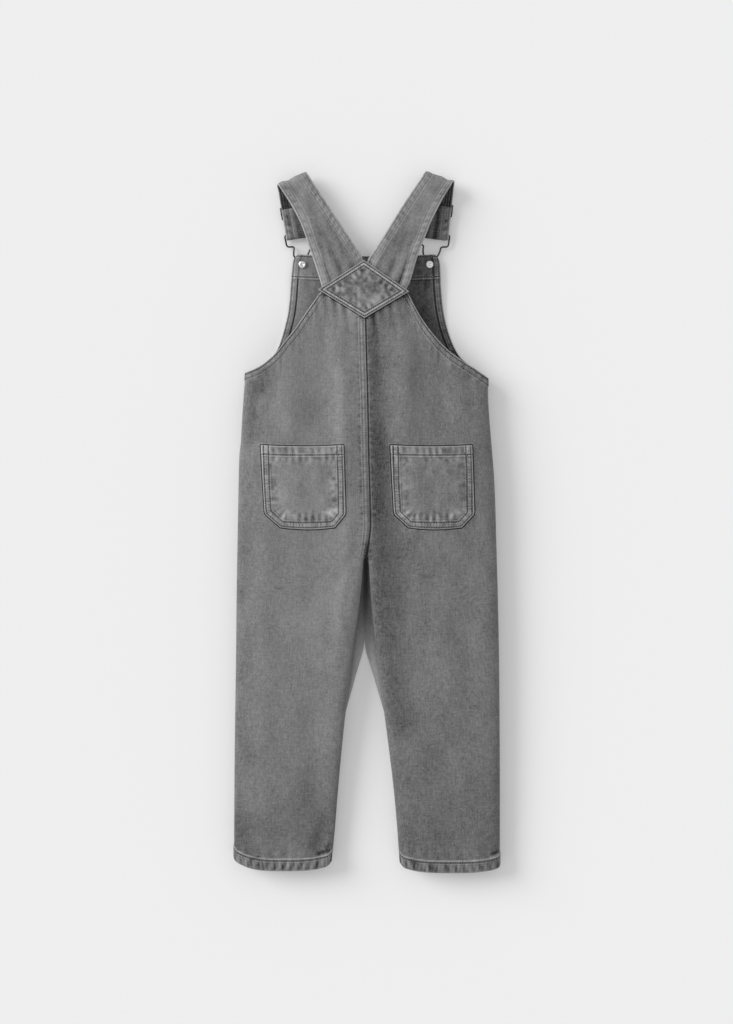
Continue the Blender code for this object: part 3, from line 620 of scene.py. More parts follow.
def dark_steel():
    return metal("dark plated steel", bpy.context.scene.dungarees_metal.steel, 0.36, 0.18)


def nickel():
    return metal("bright nickel", bpy.context.scene.dungarees_metal.nickel, 0.3, 0.06)


# Cloth as closed thin walls

SOFTNESS = 0.2
FAR = 99.0
LINING_SHIFT = 37.0
SEAM_ROWS = (2.0, 7.2)
FELL_ROWS = (2.0, 6.1)
FELL_REACH = 8.0
POCKET_EDGE_ROWS = (1.6, 7.3)
MOUTH_ROW = 10.6
MOUTH_HEM = 12.2
YOKE_EDGE_ROWS = (1.5, 5.2)
STRAP_EDGE_ROWS = (1.8, 8.4)
STRAP_END_ROW = 9.5
BIB_SIDE_ROWS = (1.6, 6.0)
BIB_HEM = 7.4
BAND_ROWS = (2.0, BIB_BAND - 2.0)
HEM_ROW = HEM_DEPTH - 2.0
WAIST_ROWS = (2.0, 8.2)

# The widths that the columns of each piece are spaced over
PANEL_SPAN = 155
POCKET_SPAN = 98
YOKE_SPAN = 64
STRAP_SPAN = 36

CREASES = [  # small creases of the back: start, end, half width and height
    (-52, 246, -50, 206, 5, -0.9),
    (-41, 242, -40, 192, 5, 0.8),
    (-24, 236, -25, 186, 6, -0.8),
    (20, 240, 22, 190, 6, 0.8),
    (34, 244, 35, 214, 5, -0.7),
    (-118, 176, -127, 128, 5, 0.9),
    (-104, 186, -112, 140, 6, -0.8),
    (120, 174, 128, 130, 6, -0.8),
    (-12, -30, -38, -78, 6, -1.1),
    (-6, -44, -20, -112, 5, 0.8),
    (10, -36, 34, -84, 6, 1.0),
    (22, -40, 62, -74, 6, -0.9),
    (-150, -20, -128, -34, 7, -0.8),
    (-152, -96, -122, -110, 8, 0.7),
    (-98, -150, -60, -168, 9, -0.8),
    (-140, -236, -112, -262, 9, 0.7),
    (60, -176, 104, -190, 10, -0.7),
    (128, -236, 152, -262, 8, 0.8),
    (-46, -352, -60, -398, 7, -1.2),
    (-58, -346, -74, -396, 6, 1.0),
    (-140, -368, -132, -402, 7, -0.9),
    (54, -356, 62, -400, 7, -1.0),
    (130, -372, 136, -404, 7, 0.8),
]

PAINTED_SHADE_AND_LIGHT = [  # painted light and shade: bands of the cloth lighter or darker where light and shadow fall on it, and the lit and shaded sides of small creases: start, end, half width and how much
    (9, 262, 9, 110, 13, -0.45),
    (9, 110, 14, -30, 14, -0.75),
    (14, -30, 22, -150, 15, -0.75),
    (24, -150, 40, -260, 12, -0.35),
    (-134, 172, -138, 92, 13, -0.5),
    (-34, 186, -31, 60, 8, 0.28),
    (-24, 30, -29, -70, 8, 0.5),
    (-32, -70, -42, -180, 8, 0.35),
    (-70, 150, -66, 116, 14, -0.2),
    (-118, 150, -96, 112, 8, 0.2),
    (-52, -300, -66, -400, 16, -0.12),
    (-150, 70, -157, -400, 9, -0.35),
    (58, -10, 66, -140, 15, -0.3),
    (0, -24, -1, -44, 4, -1.7),
    (36, 10, 40, -50, 9, -0.25),
    (-34, 244, -33, 70, 6, 0.22),
    (42, 236, 46, 190, 12, 0.2),
    (-140, -120, -141, -290, 8, -0.3),
    (-123, 184, -125, 152, 4, -0.7),
    (-114, 186, -119, 160, 3, -0.5),
    (-142, 172, -130, 174, 3.5, 0.6),
    (-60, -397.5, -44, -393.0, 1.8, -1.4),
    (-50, -392, -44, -386, 2.0, -0.9),
    (147, -402, 158, -398, 1.7, 0.9),
    (148, -398.5, 158, -394, 2.0, -1.1),
    (-140, -404, -128, -400, 2.0, -1.0),
    (50, -404, 60, -408, 2.5, -0.9),
]


def grid_normals(grid):
    """One unit normal for each point of a grid, from its neighbours."""
    down = np.empty_like(grid)
    down[1:-1] = grid[2:] - grid[:-2]
    down[0], down[-1] = grid[1] - grid[0], grid[-1] - grid[-2]
    across = np.empty_like(grid)
    across[:, 1:-1] = grid[:, 2:] - grid[:, :-2]
    across[:, 0], across[:, -1] = grid[:, 1] - grid[:, 0], grid[:, -1] - grid[:, -2]
    normals = np.cross(across, down)
    return normals / np.maximum(np.linalg.norm(normals, axis=2, keepdims=True), 1e-9)


def facing(normals, direction):
    return normals * (-1 if (normals @ np.array(direction, float)).sum() < 0 else 1)


def cloth_places(grid, sideways, shift=0.0):
    """Each point's place in the cloth: along the rows it runs on over folds and round the sides."""
    steps = np.linalg.norm(np.diff(grid, axis=1), axis=2)
    run = np.concatenate([np.zeros((len(grid), 1)), np.cumsum(steps, axis=1)], axis=1)
    return np.stack([grid[:, :1, 0] + sideways * run + shift, grid[..., 1]], axis=-1)


def grid_area(grid):
    a, b, c, d = grid[:-1, :-1], grid[:-1, 1:], grid[1:, 1:], grid[1:, :-1]
    return 0.5 * np.linalg.norm(np.cross(c - a, d - b), axis=2).sum()


def new_mesh_object(name, points, faces, values=(), uv=None):
    """A mesh object in metres from arrays: points in millimetres, faces all with four corners."""
    mesh = bpy.data.meshes.new(name)
    mesh.vertices.add(len(points))
    mesh.vertices.foreach_set("co", (np.asarray(points) * MM).astype(np.float32).ravel())
    mesh.loops.add(faces.size)
    mesh.loops.foreach_set("vertex_index", faces.astype(np.int32).ravel())
    mesh.polygons.add(len(faces))
    mesh.polygons.foreach_set("loop_start", np.arange(0, faces.size, 4, dtype=np.int32))
    mesh.update(calc_edges=True)
    mesh.validate()
    for label, data in values:
        held = mesh.attributes.new(label, "FLOAT", "POINT")
        held.data.foreach_set("value", np.asarray(data, np.float32).ravel())
    if uv is not None:
        layer = mesh.uv_layers.new(name="cloth")
        layer.data.foreach_set("uv", (uv[faces.ravel()] * MM).astype(np.float32).ravel())
    mesh.shade_smooth()
    return placed(name, mesh)


def nearest(*distances):
    """Of several signed distances, at each point the one that is nearest to nothing."""
    held = np.stack(np.broadcast_arrays(*distances))
    return np.take_along_axis(held, np.abs(held).argmin(axis=0)[None], axis=0)[0]


def cloth_wall(name, outer, inner, warp, fade, edge_fade=0.5, bulge=0.3, sewn=(), underside_painted_shade=0.0):
    """A closed wall of cloth between two grids, with a softly rounded edge all the way round.

    warp holds each point's place in the cloth across and along the warp, and fade is how much lighter
    (above 0) or darker (below 0) its colour is: washed-out wear and dark seams, and in many places
    painted light and shade; underside_painted_shade is painted shade on the inner face. sewn holds
    each point's distance from the first and second rows of sewing and from the cut edge."""
    rows, columns = outer.shape[:2]
    index = np.arange(rows * columns).reshape(rows, columns)
    rim = np.concatenate([index[0, :-1], index[:-1, -1], index[-1, :0:-1], index[:0:-1, 0]])
    inside = index[np.clip(rim // columns, 1, rows - 2), np.clip(rim % columns, 1, columns - 2)]
    top, under = outer.reshape(-1, 3), inner.reshape(-1, 3)
    middle = (top + under) / 2
    through = top[rim] - under[rim]
    through /= np.maximum(np.linalg.norm(through, axis=1, keepdims=True), 1e-9)
    away = middle[rim] - middle[inside]
    away -= through * (away * through).sum(axis=1, keepdims=True)
    away /= np.maximum(np.linalg.norm(away, axis=1, keepdims=True), 1e-9)
    points = np.concatenate([top, under, middle[rim] + away * bulge])
    count, n = rows * columns, len(rim)
    corners = [index[:-1, :-1], index[:-1, 1:], index[1:, 1:], index[1:, :-1]]
    quads = np.stack(corners, axis=-1).reshape(-1, 4)
    k, k2 = np.arange(n), (np.arange(n) + 1) % n
    mid, mid2 = 2 * count + k, 2 * count + k2
    faces = np.concatenate([
        quads,
        quads[:, ::-1] + count,
        np.stack([rim[k2], rim[k], mid, mid2], axis=1),
        np.stack([mid2, mid, rim[k] + count, rim[k2] + count], axis=1),
    ])
    a, b, c, d = (top[quads[:, m]] for m in range(4))
    if (np.cross(c - a, d - b) * (a - under[quads[:, 0]])).sum() < 0:
        faces = faces[:, ::-1]
    face_shade_and_wear = np.asarray(fade).reshape(-1)
    plain = np.zeros(count) + np.reshape(underside_painted_shade, -1)
    painted_shade_and_wear = np.concatenate([face_shade_and_wear, plain, np.full(n, edge_fade)])
    lining = np.concatenate([np.zeros(count), np.ones(count), np.zeros(n)])
    places = np.asarray(warp).reshape(-1, 2)
    uv = np.concatenate([places, places + LINING_SHIFT, places[rim]])
    # The fade attribute carries wear and painted light and shade into the colour.
    values = [("fade", painted_shade_and_wear), ("lining", lining)]
    for label, distance in zip(("row_1", "row_2", "edge"), sewn or (FAR, FAR, FAR)):
        distance = np.broadcast_to(distance, (rows, columns)).reshape(-1)
        values.append((label, np.concatenate([distance, distance, distance[rim]])))
    return new_mesh_object(name, points, faces, values, uv)


def seam_inset(points, level, inward, up):
    """A wall's inside points at a seam: through the cloth where it is level, sideways where it stands."""
    drop = np.clip((points[:, 2] - level) * up, 0.0, CLOTH)
    moved = points.copy()
    moved[:, 0] += inward * np.sqrt(CLOTH**2 - drop**2)
    moved[:, 2] -= up * drop
    return moved


def from_outline(x, y, corners):
    """Distance inside a convex outline from its nearest side, and the place along the outline there."""
    distance = np.full(np.shape(x), np.inf)
    place = np.zeros(np.shape(x))
    run = 0.0
    middle_x = sum(c[0] for c in corners) / len(corners)
    middle_y = sum(c[1] for c in corners) / len(corners)
    for (x0, y0), (x1, y1) in zip(corners, corners[1:] + corners[:1]):
        length = math.hypot(x1 - x0, y1 - y0)
        ux, uy = (x1 - x0) / length, (y1 - y0) / length
        sign = math.copysign(1.0, (middle_x - x0) * -uy + (middle_y - y0) * ux)
        off = ((x - x0) * -uy + (y - y0) * ux) * sign
        closer = off < distance
        distance = np.where(closer, off, distance)
        place = np.where(closer, run + (x - x0) * ux + (y - y0) * uy, place)
        run += length
    return distance, place


# The back panels

def softness(x, y):
    """Slight unevenness that lets every broad face of the cloth lie soft."""
    broad, narrow = mottle(x, y * 0.55, 19, 3), mottle(x, y * 0.6, 8, 4)
    return SOFTNESS * (broad + 0.45 * narrow) + creases(x, y, CREASES)


def back_height(side, u, y):
    s = 2 * u - 1
    top, seam = along(LEVELS, y, 1), along(LEVELS, y, 2)
    full = swell(s, y, np.where(s < 0, along(INNER_ROUNDNESS, y), TOP_ROUNDNESS))
    # Scales the wear and the painted light and shade in the colour alike.
    share = smooth((full - 0.25) / 0.5)
    x = column_x(side, u, y)
    shape = creases(x, y, FOLDS) + softness(x, y)
    return seam + SCENE_GAP / 2 + (top - seam) * full + shape * share


def back_level(x, y):
    """Height of the back's cloth at places seen from above, without its seams and facings."""
    total = np.zeros(np.broadcast(x, y).shape)
    left = x < along(CENTRE_SEAM, y)
    for side, chosen in (("left", left), ("right", ~left)):
        inner = inner_x(side, y)
        width = along(SIDE_SEAM[side], y) - inner
        u = np.clip((x - inner) / width, 0.0, 1.0)
        total = np.where(chosen, back_height(side, u, y), total)
    return total


def armhole_top(side, u):
    """The y of a back's top edge in each column, and how much longer a band is measured straight down."""
    top = np.full(len(u), YOKE_Y)
    for _ in range(8):
        top = armhole_y(side, column_x(side, u, top))
    x = column_x(side, u, top)
    slope = (armhole_y(side, x + 2.0) - armhole_y(side, x - 2.0)) / 4.0
    return top, np.sqrt(1 + np.minimum(np.abs(slope), 1.5) ** 2)


def yoke_lower_edge(x):
    return np.interp(x, *zip(YOKE_LEFT, YOKE_BOTTOM, YOKE_RIGHT))


def panel_rows(top, band, hem, hem_band, counts):
    """The y of every row of a panel, closer together in a band at its top and another at its hem."""
    first, middle, last = (np.linspace(0, 1, count)[:, None] for count in counts)
    return np.concatenate([
        top - band * first,
        between(top - band, hem + hem_band, middle[1:]),
        hem + hem_band * (1 - last[1:]),
    ])


def make_back(side):
    """A back panel from the yoke and the armhole down to the hem, with its seams and edges raised on it."""
    u = shares(PANEL_SPAN, (12, 4), 1.0, 1.75)
    top, stretch = armhole_top(side, u)
    hem = hem_y(side, 2 * u - 1)
    y = panel_rows(top, 16 * stretch, hem, 18, (15, 335, 16))
    grid_u = np.broadcast_to(u, y.shape)
    x = column_x(side, grid_u, y)
    base = np.stack([x, y, back_height(side, grid_u, y)], axis=-1)
    normals = facing(grid_normals(base), (0, 0, 1))
    seed = SEEDS["back"][side]

    from_top = (top - y) / stretch
    top_run = np.broadcast_to(arc_length(*base[0, :, :2].T), y.shape)
    from_seam = np.abs(x - inner_x(side, y))
    from_hem = y - hem
    calm = smooth((1 - grid_u) * PANEL_SPAN / 5)
    shown = smooth((np.abs(x) - 46) / 12)

    facing_part = step_down(from_top, FACING_WIDTH) * smooth((np.abs(x) - 52) / 14)
    hem_part = step_down(from_hem, HEM_DEPTH)
    above_crotch = smooth((y - CROTCH_Y - 14) / 14)
    fell_part = step_down(from_seam, FELL_REACH) * above_crotch * (1.0 if side == "left" else 0.0)
    fell_part = fell_part * smooth((YOKE_BOTTOM[1] + 6 - y) / 14)
    raised = np.maximum(FACING_RAISE * np.maximum(facing_part, hem_part), FELL_RAISE * fell_part)

    armhole_channel = sum(bump_at(from_top - row, 0.85) for row in SEAM_ROWS) * shown
    hem_channel = bump_at(from_hem - HEM_ROW, 1.0)
    near_crotch = smooth((y - CROTCH_Y + 4) / 12)
    seam_channel = np.zeros_like(y)
    if side == "left":
        seam_channel = sum(bump_at(from_seam - row, 0.8) for row in FELL_ROWS) * near_crotch
    skew = top_run + 0.5 * from_top
    armhole_puckers = ripple(skew, 9.0, seed) * bump_at(from_top - 4.8, 3.4) * shown
    armhole_puckers += 0.8 * ripple(top_run, 12.0, seed + 1) * bump_at(from_top - 12.0, 4.5) * shown
    along_hem = np.broadcast_to(arc_length(*base[-1].T), y.shape)
    roping = ripple(along_hem + 0.25 * from_hem, 10.0, seed + 2)
    roping += 0.7 * ripple(along_hem - 0.2 * from_hem, 4.6, seed + 3)
    hem_puckers = roping * bump_at(from_hem - 5.5, 6.0)
    hem_puckers += 0.35 * ripple(along_hem, 14.0, seed + 4) * bump_at(from_hem - 20, 6.0)
    fell_puckers = ripple(y, 8.5, seed + 5) * bump_at(from_seam - 4.0, 3.0) * near_crotch
    dimples = np.zeros_like(y)
    if side == "left":
        dimples = (0.2 + 0.8 * ripple(y, 6.5, seed + 6)) * bump_at(from_seam - 9.8, 2.0) * above_crotch
    under_yoke = np.clip(yoke_lower_edge(x) - y, 0, None)
    yoke_puckers = ripple(x + 0.15 * y, 11.0, seed + 7) * np.exp(-under_yoke / 13)
    yoke_puckers *= smooth((70 - np.abs(x)) / 20)

    puckers = (
        0.24 * armhole_puckers + 0.42 * hem_puckers + 0.18 * fell_puckers - 0.34 * dimples
        + 0.55 * yoke_puckers
    )
    channels = 0.42 * np.clip(armhole_channel + hem_channel + seam_channel, 0, 1)
    outer = base + normals * (raised + (puckers - channels) * calm)[..., None]

    by_pocket = 0.8 + from_outline(x, y + pocket_sag(side, x, y), pocket_corners(side))[0]
    by_yoke = 0.8 + from_outline(x, y, YOKE_CORNERS)[0]
    fade = (
        0.6 * armhole_puckers + 1.0 * hem_puckers + 0.4 * fell_puckers - 0.9 * dimples
        + 1.5 * yoke_puckers - 0.22 * facing_part
    )
    # Painted shadow: a dark line at the foot of the fell's raised edge on the left, and beside the seam on
    # the right where the left half stands over it.
    if side == "left":
        fade -= 0.5 * bump_at(from_seam - FELL_REACH - 0.9, 0.8) * above_crotch * calm
    else:
        fade -= 0.8 * bump_at(from_seam, 1.6) * near_crotch
    fade += 0.08 * mottle(x, y * 0.7, 34, 8) + 0.08 * mottle(x, y * 0.5, 14, 9)
    # Painted light and shade along lines over the back panels.
    fade += creases(x, y, PAINTED_SHADE_AND_LIGHT)
    # Painted shadow: a dark line round the pocket and the yoke where they stand on the panel.
    fade -= 0.55 * (bump_at(by_pocket, 1.8) + bump_at(by_yoke, 1.8))
    # Painted shade: the right half darker all over and the legs darker towards the hems, for light from the
    # upper left.
    all_over, down_the_leg = (0.0, 0.5) if side == "left" else (0.4, 0.28)
    fade -= all_over + down_the_leg * smooth((-230 - y) / 170)

    inner = base - normals * CLOTH
    level = along(LEVELS, y, 2) + SCENE_GAP / 2
    outward = OUTWARD[side]
    inner[:, -1] = seam_inset(base[:, -1], base[:, -1, 2], -outward, 1)
    inner[:, 0] = seam_inset(base[:, 0], level[:, 0], outward, 1)
    outer[:, 0] = lifted(base[:, 0], raised[:, 0] - (channels * calm)[:, 0])
    outer[:, -1] = base[:, -1]
    outer[:, -1, 0] += outward * raised[:, -1]
    seam_off = np.where(y > CROTCH_Y - 4, from_seam, FAR)
    seam_rows, seam_edge = (seam_off, seam_off - 1.1), FAR
    if side == "left":
        seam_rows = [np.hypot(seam_off - row, thin) for row, thin in zip(FELL_ROWS, (0.7, 0.6))]
        seam_edge = seam_off
    sewn = [
        nearest(from_top - SEAM_ROWS[0], from_hem - HEM_ROW, seam_rows[0]),
        nearest(np.hypot(from_top - SEAM_ROWS[1], 0.4), seam_rows[1], by_pocket, by_yoke),
        nearest(from_top, seam_edge, from_hem, from_hem - HEM_DEPTH - 0.4),
    ]
    piece = cloth_wall(
        "back_%s_cloth" % side, outer, inner, cloth_places(base, outward), fade, 0.35, sewn=sewn
    )
    return finish_cloth(piece, base, replaced=["back_" + side])


def finish_cloth(piece, flat_grid, replaced, turned_in=0.03):
    """Denim, the body it rides on and the CAD node it stands for, hidden; the size it was cut to is worked
    out but not kept.

    turned_in is what its hems and seams take up across it and along it, in metres."""
    piece.data.materials.append(denim())
    width = max(arc_length(*row.T)[-1] for row in flat_grid[:: max(1, len(flat_grid) // 12)])
    length = max(arc_length(*column.T)[-1] for column in flat_grid.transpose(1, 0, 2)[::6])
    cut = (width * MM + turned_in, length * MM + turned_in)
    area = min(grid_area(flat_grid) * 1e-6 + turned_in * (cut[0] + cut[1]) * 0.8, cut[0] * cut[1])
    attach(piece, "root")
    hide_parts(*replaced)
    return piece


# The front panels and the bib, underneath

def front_height(u, y):
    seam = along(LEVELS, y, 2) - SCENE_GAP / 2
    return seam * np.clip(1 - swell(2 * u - 1, y, UNDER_ROUNDNESS) / RESTING_SHARE, 0, None)


CROTCH_OPENING = [  # y, how far the fronts have parted down the inside of the legs; where they have not, their cloth is drawn across the gap between the legs as a dark sheet that stands in for the shade there
    (-40, 0.0), (-140, 0.0), (-154, 0.11), (-169, 0.37), (-184, 0.58),
    (-200, 0.74), (-216, 0.87), (-240, 1.0), (-420, 1.0),
]


def make_front(side):
    """A front panel from the waist seam to the hem, pressed flat where it lies on the floor."""
    u = shares(PANEL_SPAN, (10, 10), 1.6, 3.0)
    hem = hem_y(side, 2 * u - 1) + 1.5 * (1 - np.abs(2 * u - 1) ** 3.2)
    top = WAIST_Y - SCENE_GAP / 2
    y = panel_rows(np.full(len(u), top), 12, hem, 17, (9, 185, 13))
    grid_u = np.broadcast_to(u, y.shape)
    x = column_x(side, grid_u, y)
    seed = SEEDS["front"][side]
    height = front_height(grid_u, y)
    left_leg, right_leg = (along(INSEAM[leg], y) for leg in SIDES)
    half_gap = np.where(y < CROTCH_Y, (right_leg - left_leg) / 2, 0.0)
    middle = (right_leg + left_leg) / 2
    parted = along(CROTCH_OPENING, y)
    # Near the crotch the fronts are drawn together across the gap between the legs, a dark sheet of cloth
    # standing in for the shade in the gap.
    meeting = middle + OUTWARD[side] * (SCENE_GAP / 2 + (half_gap + 0.4) * parted)
    spread = smooth((y + 290) / 90) * smooth((along(LEVELS, y, 2) - height) / 8) * (half_gap > 0.3)
    spread = spread * (1 - smooth((grid_u * PANEL_SPAN - 6) / 22))
    x = between(x, meeting, spread)
    base = np.stack([x, y, height], axis=-1)
    normals = facing(grid_normals(base), (0, 0, -1))
    from_seam = np.abs(x - inner_x(side, y))
    from_hem, from_waist = y - hem, top - y
    resting = smooth((3.0 - base[..., 2]) / 3.0)
    calm = smooth((1 - grid_u) * PANEL_SPAN / 5) * smooth(grid_u * PANEL_SPAN / 4)
    hem_run = np.broadcast_to(arc_length(*base[-1].T), y.shape)
    roping = ripple(hem_run + 0.5 * from_hem, 11.0, seed) * bump_at(from_hem - 5.5, 6.0)
    waist_puckers = ripple(x, 9.0, seed + 1) * bump_at(from_waist - 4.0, 4.0)
    hollows = 0.5 + 0.5 * mottle(x, y * 0.55, 24, seed + 2) + 0.25 * mottle(x, y * 0.6, 9, seed + 3)
    under_folds = np.clip(creases(x, y, FOLDS) * 0.35, -0.2, 1.2)
    raised_hem = step_down(from_hem, HEM_DEPTH)
    channel = bump_at(from_hem - HEM_ROW, 1.0) + sum(bump_at(from_waist - row, 0.9) for row in WAIST_ROWS)
    channel += sum(bump_at(from_seam - row, 0.9) for row in FELL_ROWS) * smooth((y - CROTCH_Y) / 12)
    channel = np.clip(channel, 0, 1)
    hollow = (0.55 * hollows + under_folds + 0.3 * channel) * resting * calm
    hollow = hollow + (0.3 * (1 - raised_hem) + 0.25 * (1 - roping) * raised_hem) * resting * calm
    relief = (0.3 * roping + 0.2 * waist_puckers) * calm * (1 - resting)
    outer = base - normals * (hollow - relief)[..., None]
    outer[..., 2] = np.maximum(outer[..., 2], 0.0)
    # Seam channels darker: partly dye kept in the sunk seams, partly painted shade.
    fade = 0.5 * roping + 0.4 * waist_puckers - 0.7 * channel + 0.25 * mottle(x, y, 34, seed + 4)
    # Painted shade and light on that sheet: dark near the crotch, pale lower down where the gap's shade is
    # lighter.
    fade = fade + spread * np.sqrt(1 - parted) * between(4.0, -1.9, smooth((y + 168) / 108))
    # Painted shade on the side walls, towards the side seam.
    fade = fade - 0.35 * smooth((grid_u * PANEL_SPAN - 132) / 16)
    inner = base - normals * CLOTH - normals * (hollow * 0.8)[..., None]
    level = along(LEVELS, y, 2) - SCENE_GAP / 2
    outward = OUTWARD[side]
    inner[:, -1] = seam_inset(base[:, -1], base[:, -1, 2], -outward, -1)
    inner[:, 0] = seam_inset(base[:, 0], level[:, 0], outward, -1)
    sewn = (nearest(from_hem - HEM_ROW, from_waist - WAIST_ROWS[0]), from_waist - WAIST_ROWS[1], from_hem)
    piece = cloth_wall(
        "front_%s_cloth" % side, outer, inner, cloth_places(base, outward, 400.0), fade, 0.35, sewn=sewn
    )
    return finish_cloth(piece, base, replaced=["front_" + side])


def bib_edges(y):
    return along(BIB_SIDE["left"], y), along(BIB_SIDE["right"], y)


def bib_rise(t, y):
    seam = along(LEVELS, y, 2) - SCENE_GAP / 2
    rise = seam * np.clip(1 - roundness(t, UNDER_ROUNDNESS * 1.6) / RESTING_SHARE, 0, None)
    return along(BIB_LIFT, y) + rise * along(BIB_RISE, y)


def make_bib():
    """The bib lies outer face down; its inside, with the turned edges and the top band, faces up."""
    t = spaced([(-90, -78, 1.0), (-78, 78, 2.3), (78, 90, 1.0)]) / 90
    row = spaced([(BIB_TOP_Y, 288, 1.25), (288, 180, 1.9), (180, WAIST_Y + SCENE_GAP / 2, 1.6)])
    y = row[:, None] - BIB_TOP_DIP * (1 - t * t) * np.clip((row[:, None] - 290) / (BIB_TOP_Y - 290), 0, 1)
    grid_t = np.broadcast_to(t, y.shape)
    left, right = bib_edges(y)
    cut = 3.6 * np.clip((row[:, None] - 307) / (BIB_TOP_Y - 307), 0, 1) ** 2.5
    x = between(left + cut, right - cut, (grid_t + 1) / 2)
    base = np.stack([x, y, bib_rise(grid_t, y)], axis=-1)
    from_side = np.minimum(x - left, right - x)
    from_top = BIB_TOP_Y - BIB_TOP_DIP * (1 - grid_t**2) - y
    seen = smooth((y - 176) / 20)
    side_hem = step_down(from_side, BIB_HEM, 0.7) * seen
    band = step_down(from_top, BIB_BAND, 0.7)
    side_puckers = ripple(y, 8.5, 91) * bump_at(from_side - 3.8, 2.8) * seen
    band_puckers = ripple(x, 9.0, 92) * bump_at(from_top - BIB_BAND + 4, 4.5)
    band_puckers += 0.6 * ripple(x, 7.0, 93) * bump_at(from_top - 4, 4.0)
    channel = sum(bump_at(from_side - d, 0.8) for d in BIB_SIDE_ROWS) * seen
    channel = np.clip(channel + sum(bump_at(from_top - d, 0.9) for d in BAND_ROWS), 0, 1)
    soft = 0.35 * mottle(x, y, 16, 94) + 0.15 * mottle(x, y, 7, 95)
    thick = CLOTH + FACING_RAISE * np.maximum(side_hem, band) - 0.3 * channel
    thick = thick + 0.3 * side_puckers + 0.3 * band_puckers
    lift = np.clip(0.4 + soft, 0, None) * smooth(from_side / 5)
    lift = lift * smooth(from_top / 6) * smooth((y - 160) / 16)
    lower, upper = lifted(base, lift * 0.8), lifted(base, lift + thick)
    low_sides = (y < 180) & (np.abs(grid_t) == 1)
    sideways = base.copy()
    sideways[..., 0] -= CLOTH * np.sign(grid_t)
    upper[low_sides] = sideways[low_sides]
    # Painted shadow at the foot of the turned side hems and of the top band.
    inset = -2.0 * bump_at(from_side - 8.3, 0.9) * seen - 0.8 * bump_at(from_top - BIB_BAND - 1.0, 0.9)
    # Painted shadow over the right half of the bib, under the back and the strap, and painted light on its
    # left half.
    fade = (
        0.5 * side_puckers + 0.5 * band_puckers + inset
        - 0.95 * smooth((x - 10) / 60) + 0.35 * smooth((-x - 20) / 40)
        + 0.5 * bump_at(from_top - BIB_BAND + 0.2, 0.8)
        + 0.35 * mottle(x, y * 0.6, 22, 96) + 0.3 * mottle(x, y * 0.4, 6, 97)
    )
    sewn = (
        nearest(from_side - BIB_SIDE_ROWS[0], from_top - BAND_ROWS[0]),
        nearest(np.where(from_top > BIB_BAND, from_side - 8.2, FAR), from_top - BAND_ROWS[1]),
        nearest(from_side, from_top, np.hypot(from_top - BIB_BAND, 0.8)),
    )
    piece = cloth_wall("bib_cloth", upper, lower, np.stack([x - 400, y], axis=-1), fade, 0.45, sewn=sewn)
    return finish_cloth(piece, base, replaced=["bib"])


# The pieces sewn on the back

WORN_SPOTS = {  # where the corners of the pockets have rubbed pale
    "left": [(-98, 9), (-45, 10), (-123, 88), (-31, 88)],
    "right": [(45, 10.5), (104, 9), (31, 88), (122, 88)],
}


def pocket_edges(side, y):
    """The x of a pocket's two side edges at a height."""
    ys, first, last = zip(*reversed(POCKETS[side]))
    return np.interp(y, ys, first), np.interp(y, ys, last)


def pocket_sag(side, x, y):
    """How far a level line across a pocket hangs below its ends, at its mouth and at its foot."""
    first, last = pocket_edges(side, y)
    t = np.clip((x - first) / (last - first), 0, 1)
    down = np.clip((POCKET_TOP_Y - y) / (POCKET_TOP_Y - POCKET_FOOT_Y), 0, 1)
    return 4 * t * (1 - t) * (POCKET_SAG * down**3 + MOUTH_DIP * (1 - down) ** 3)


def pocket_corners(side):
    rows = POCKETS[side]
    return [(r[1], r[0]) for r in rows] + [(r[2], r[0]) for r in reversed(rows)]


def held_above(fade, floor, share):
    """The fade with only this share left of what goes below a floor."""
    return np.where(fade < floor, floor + share * (fade - floor), fade)


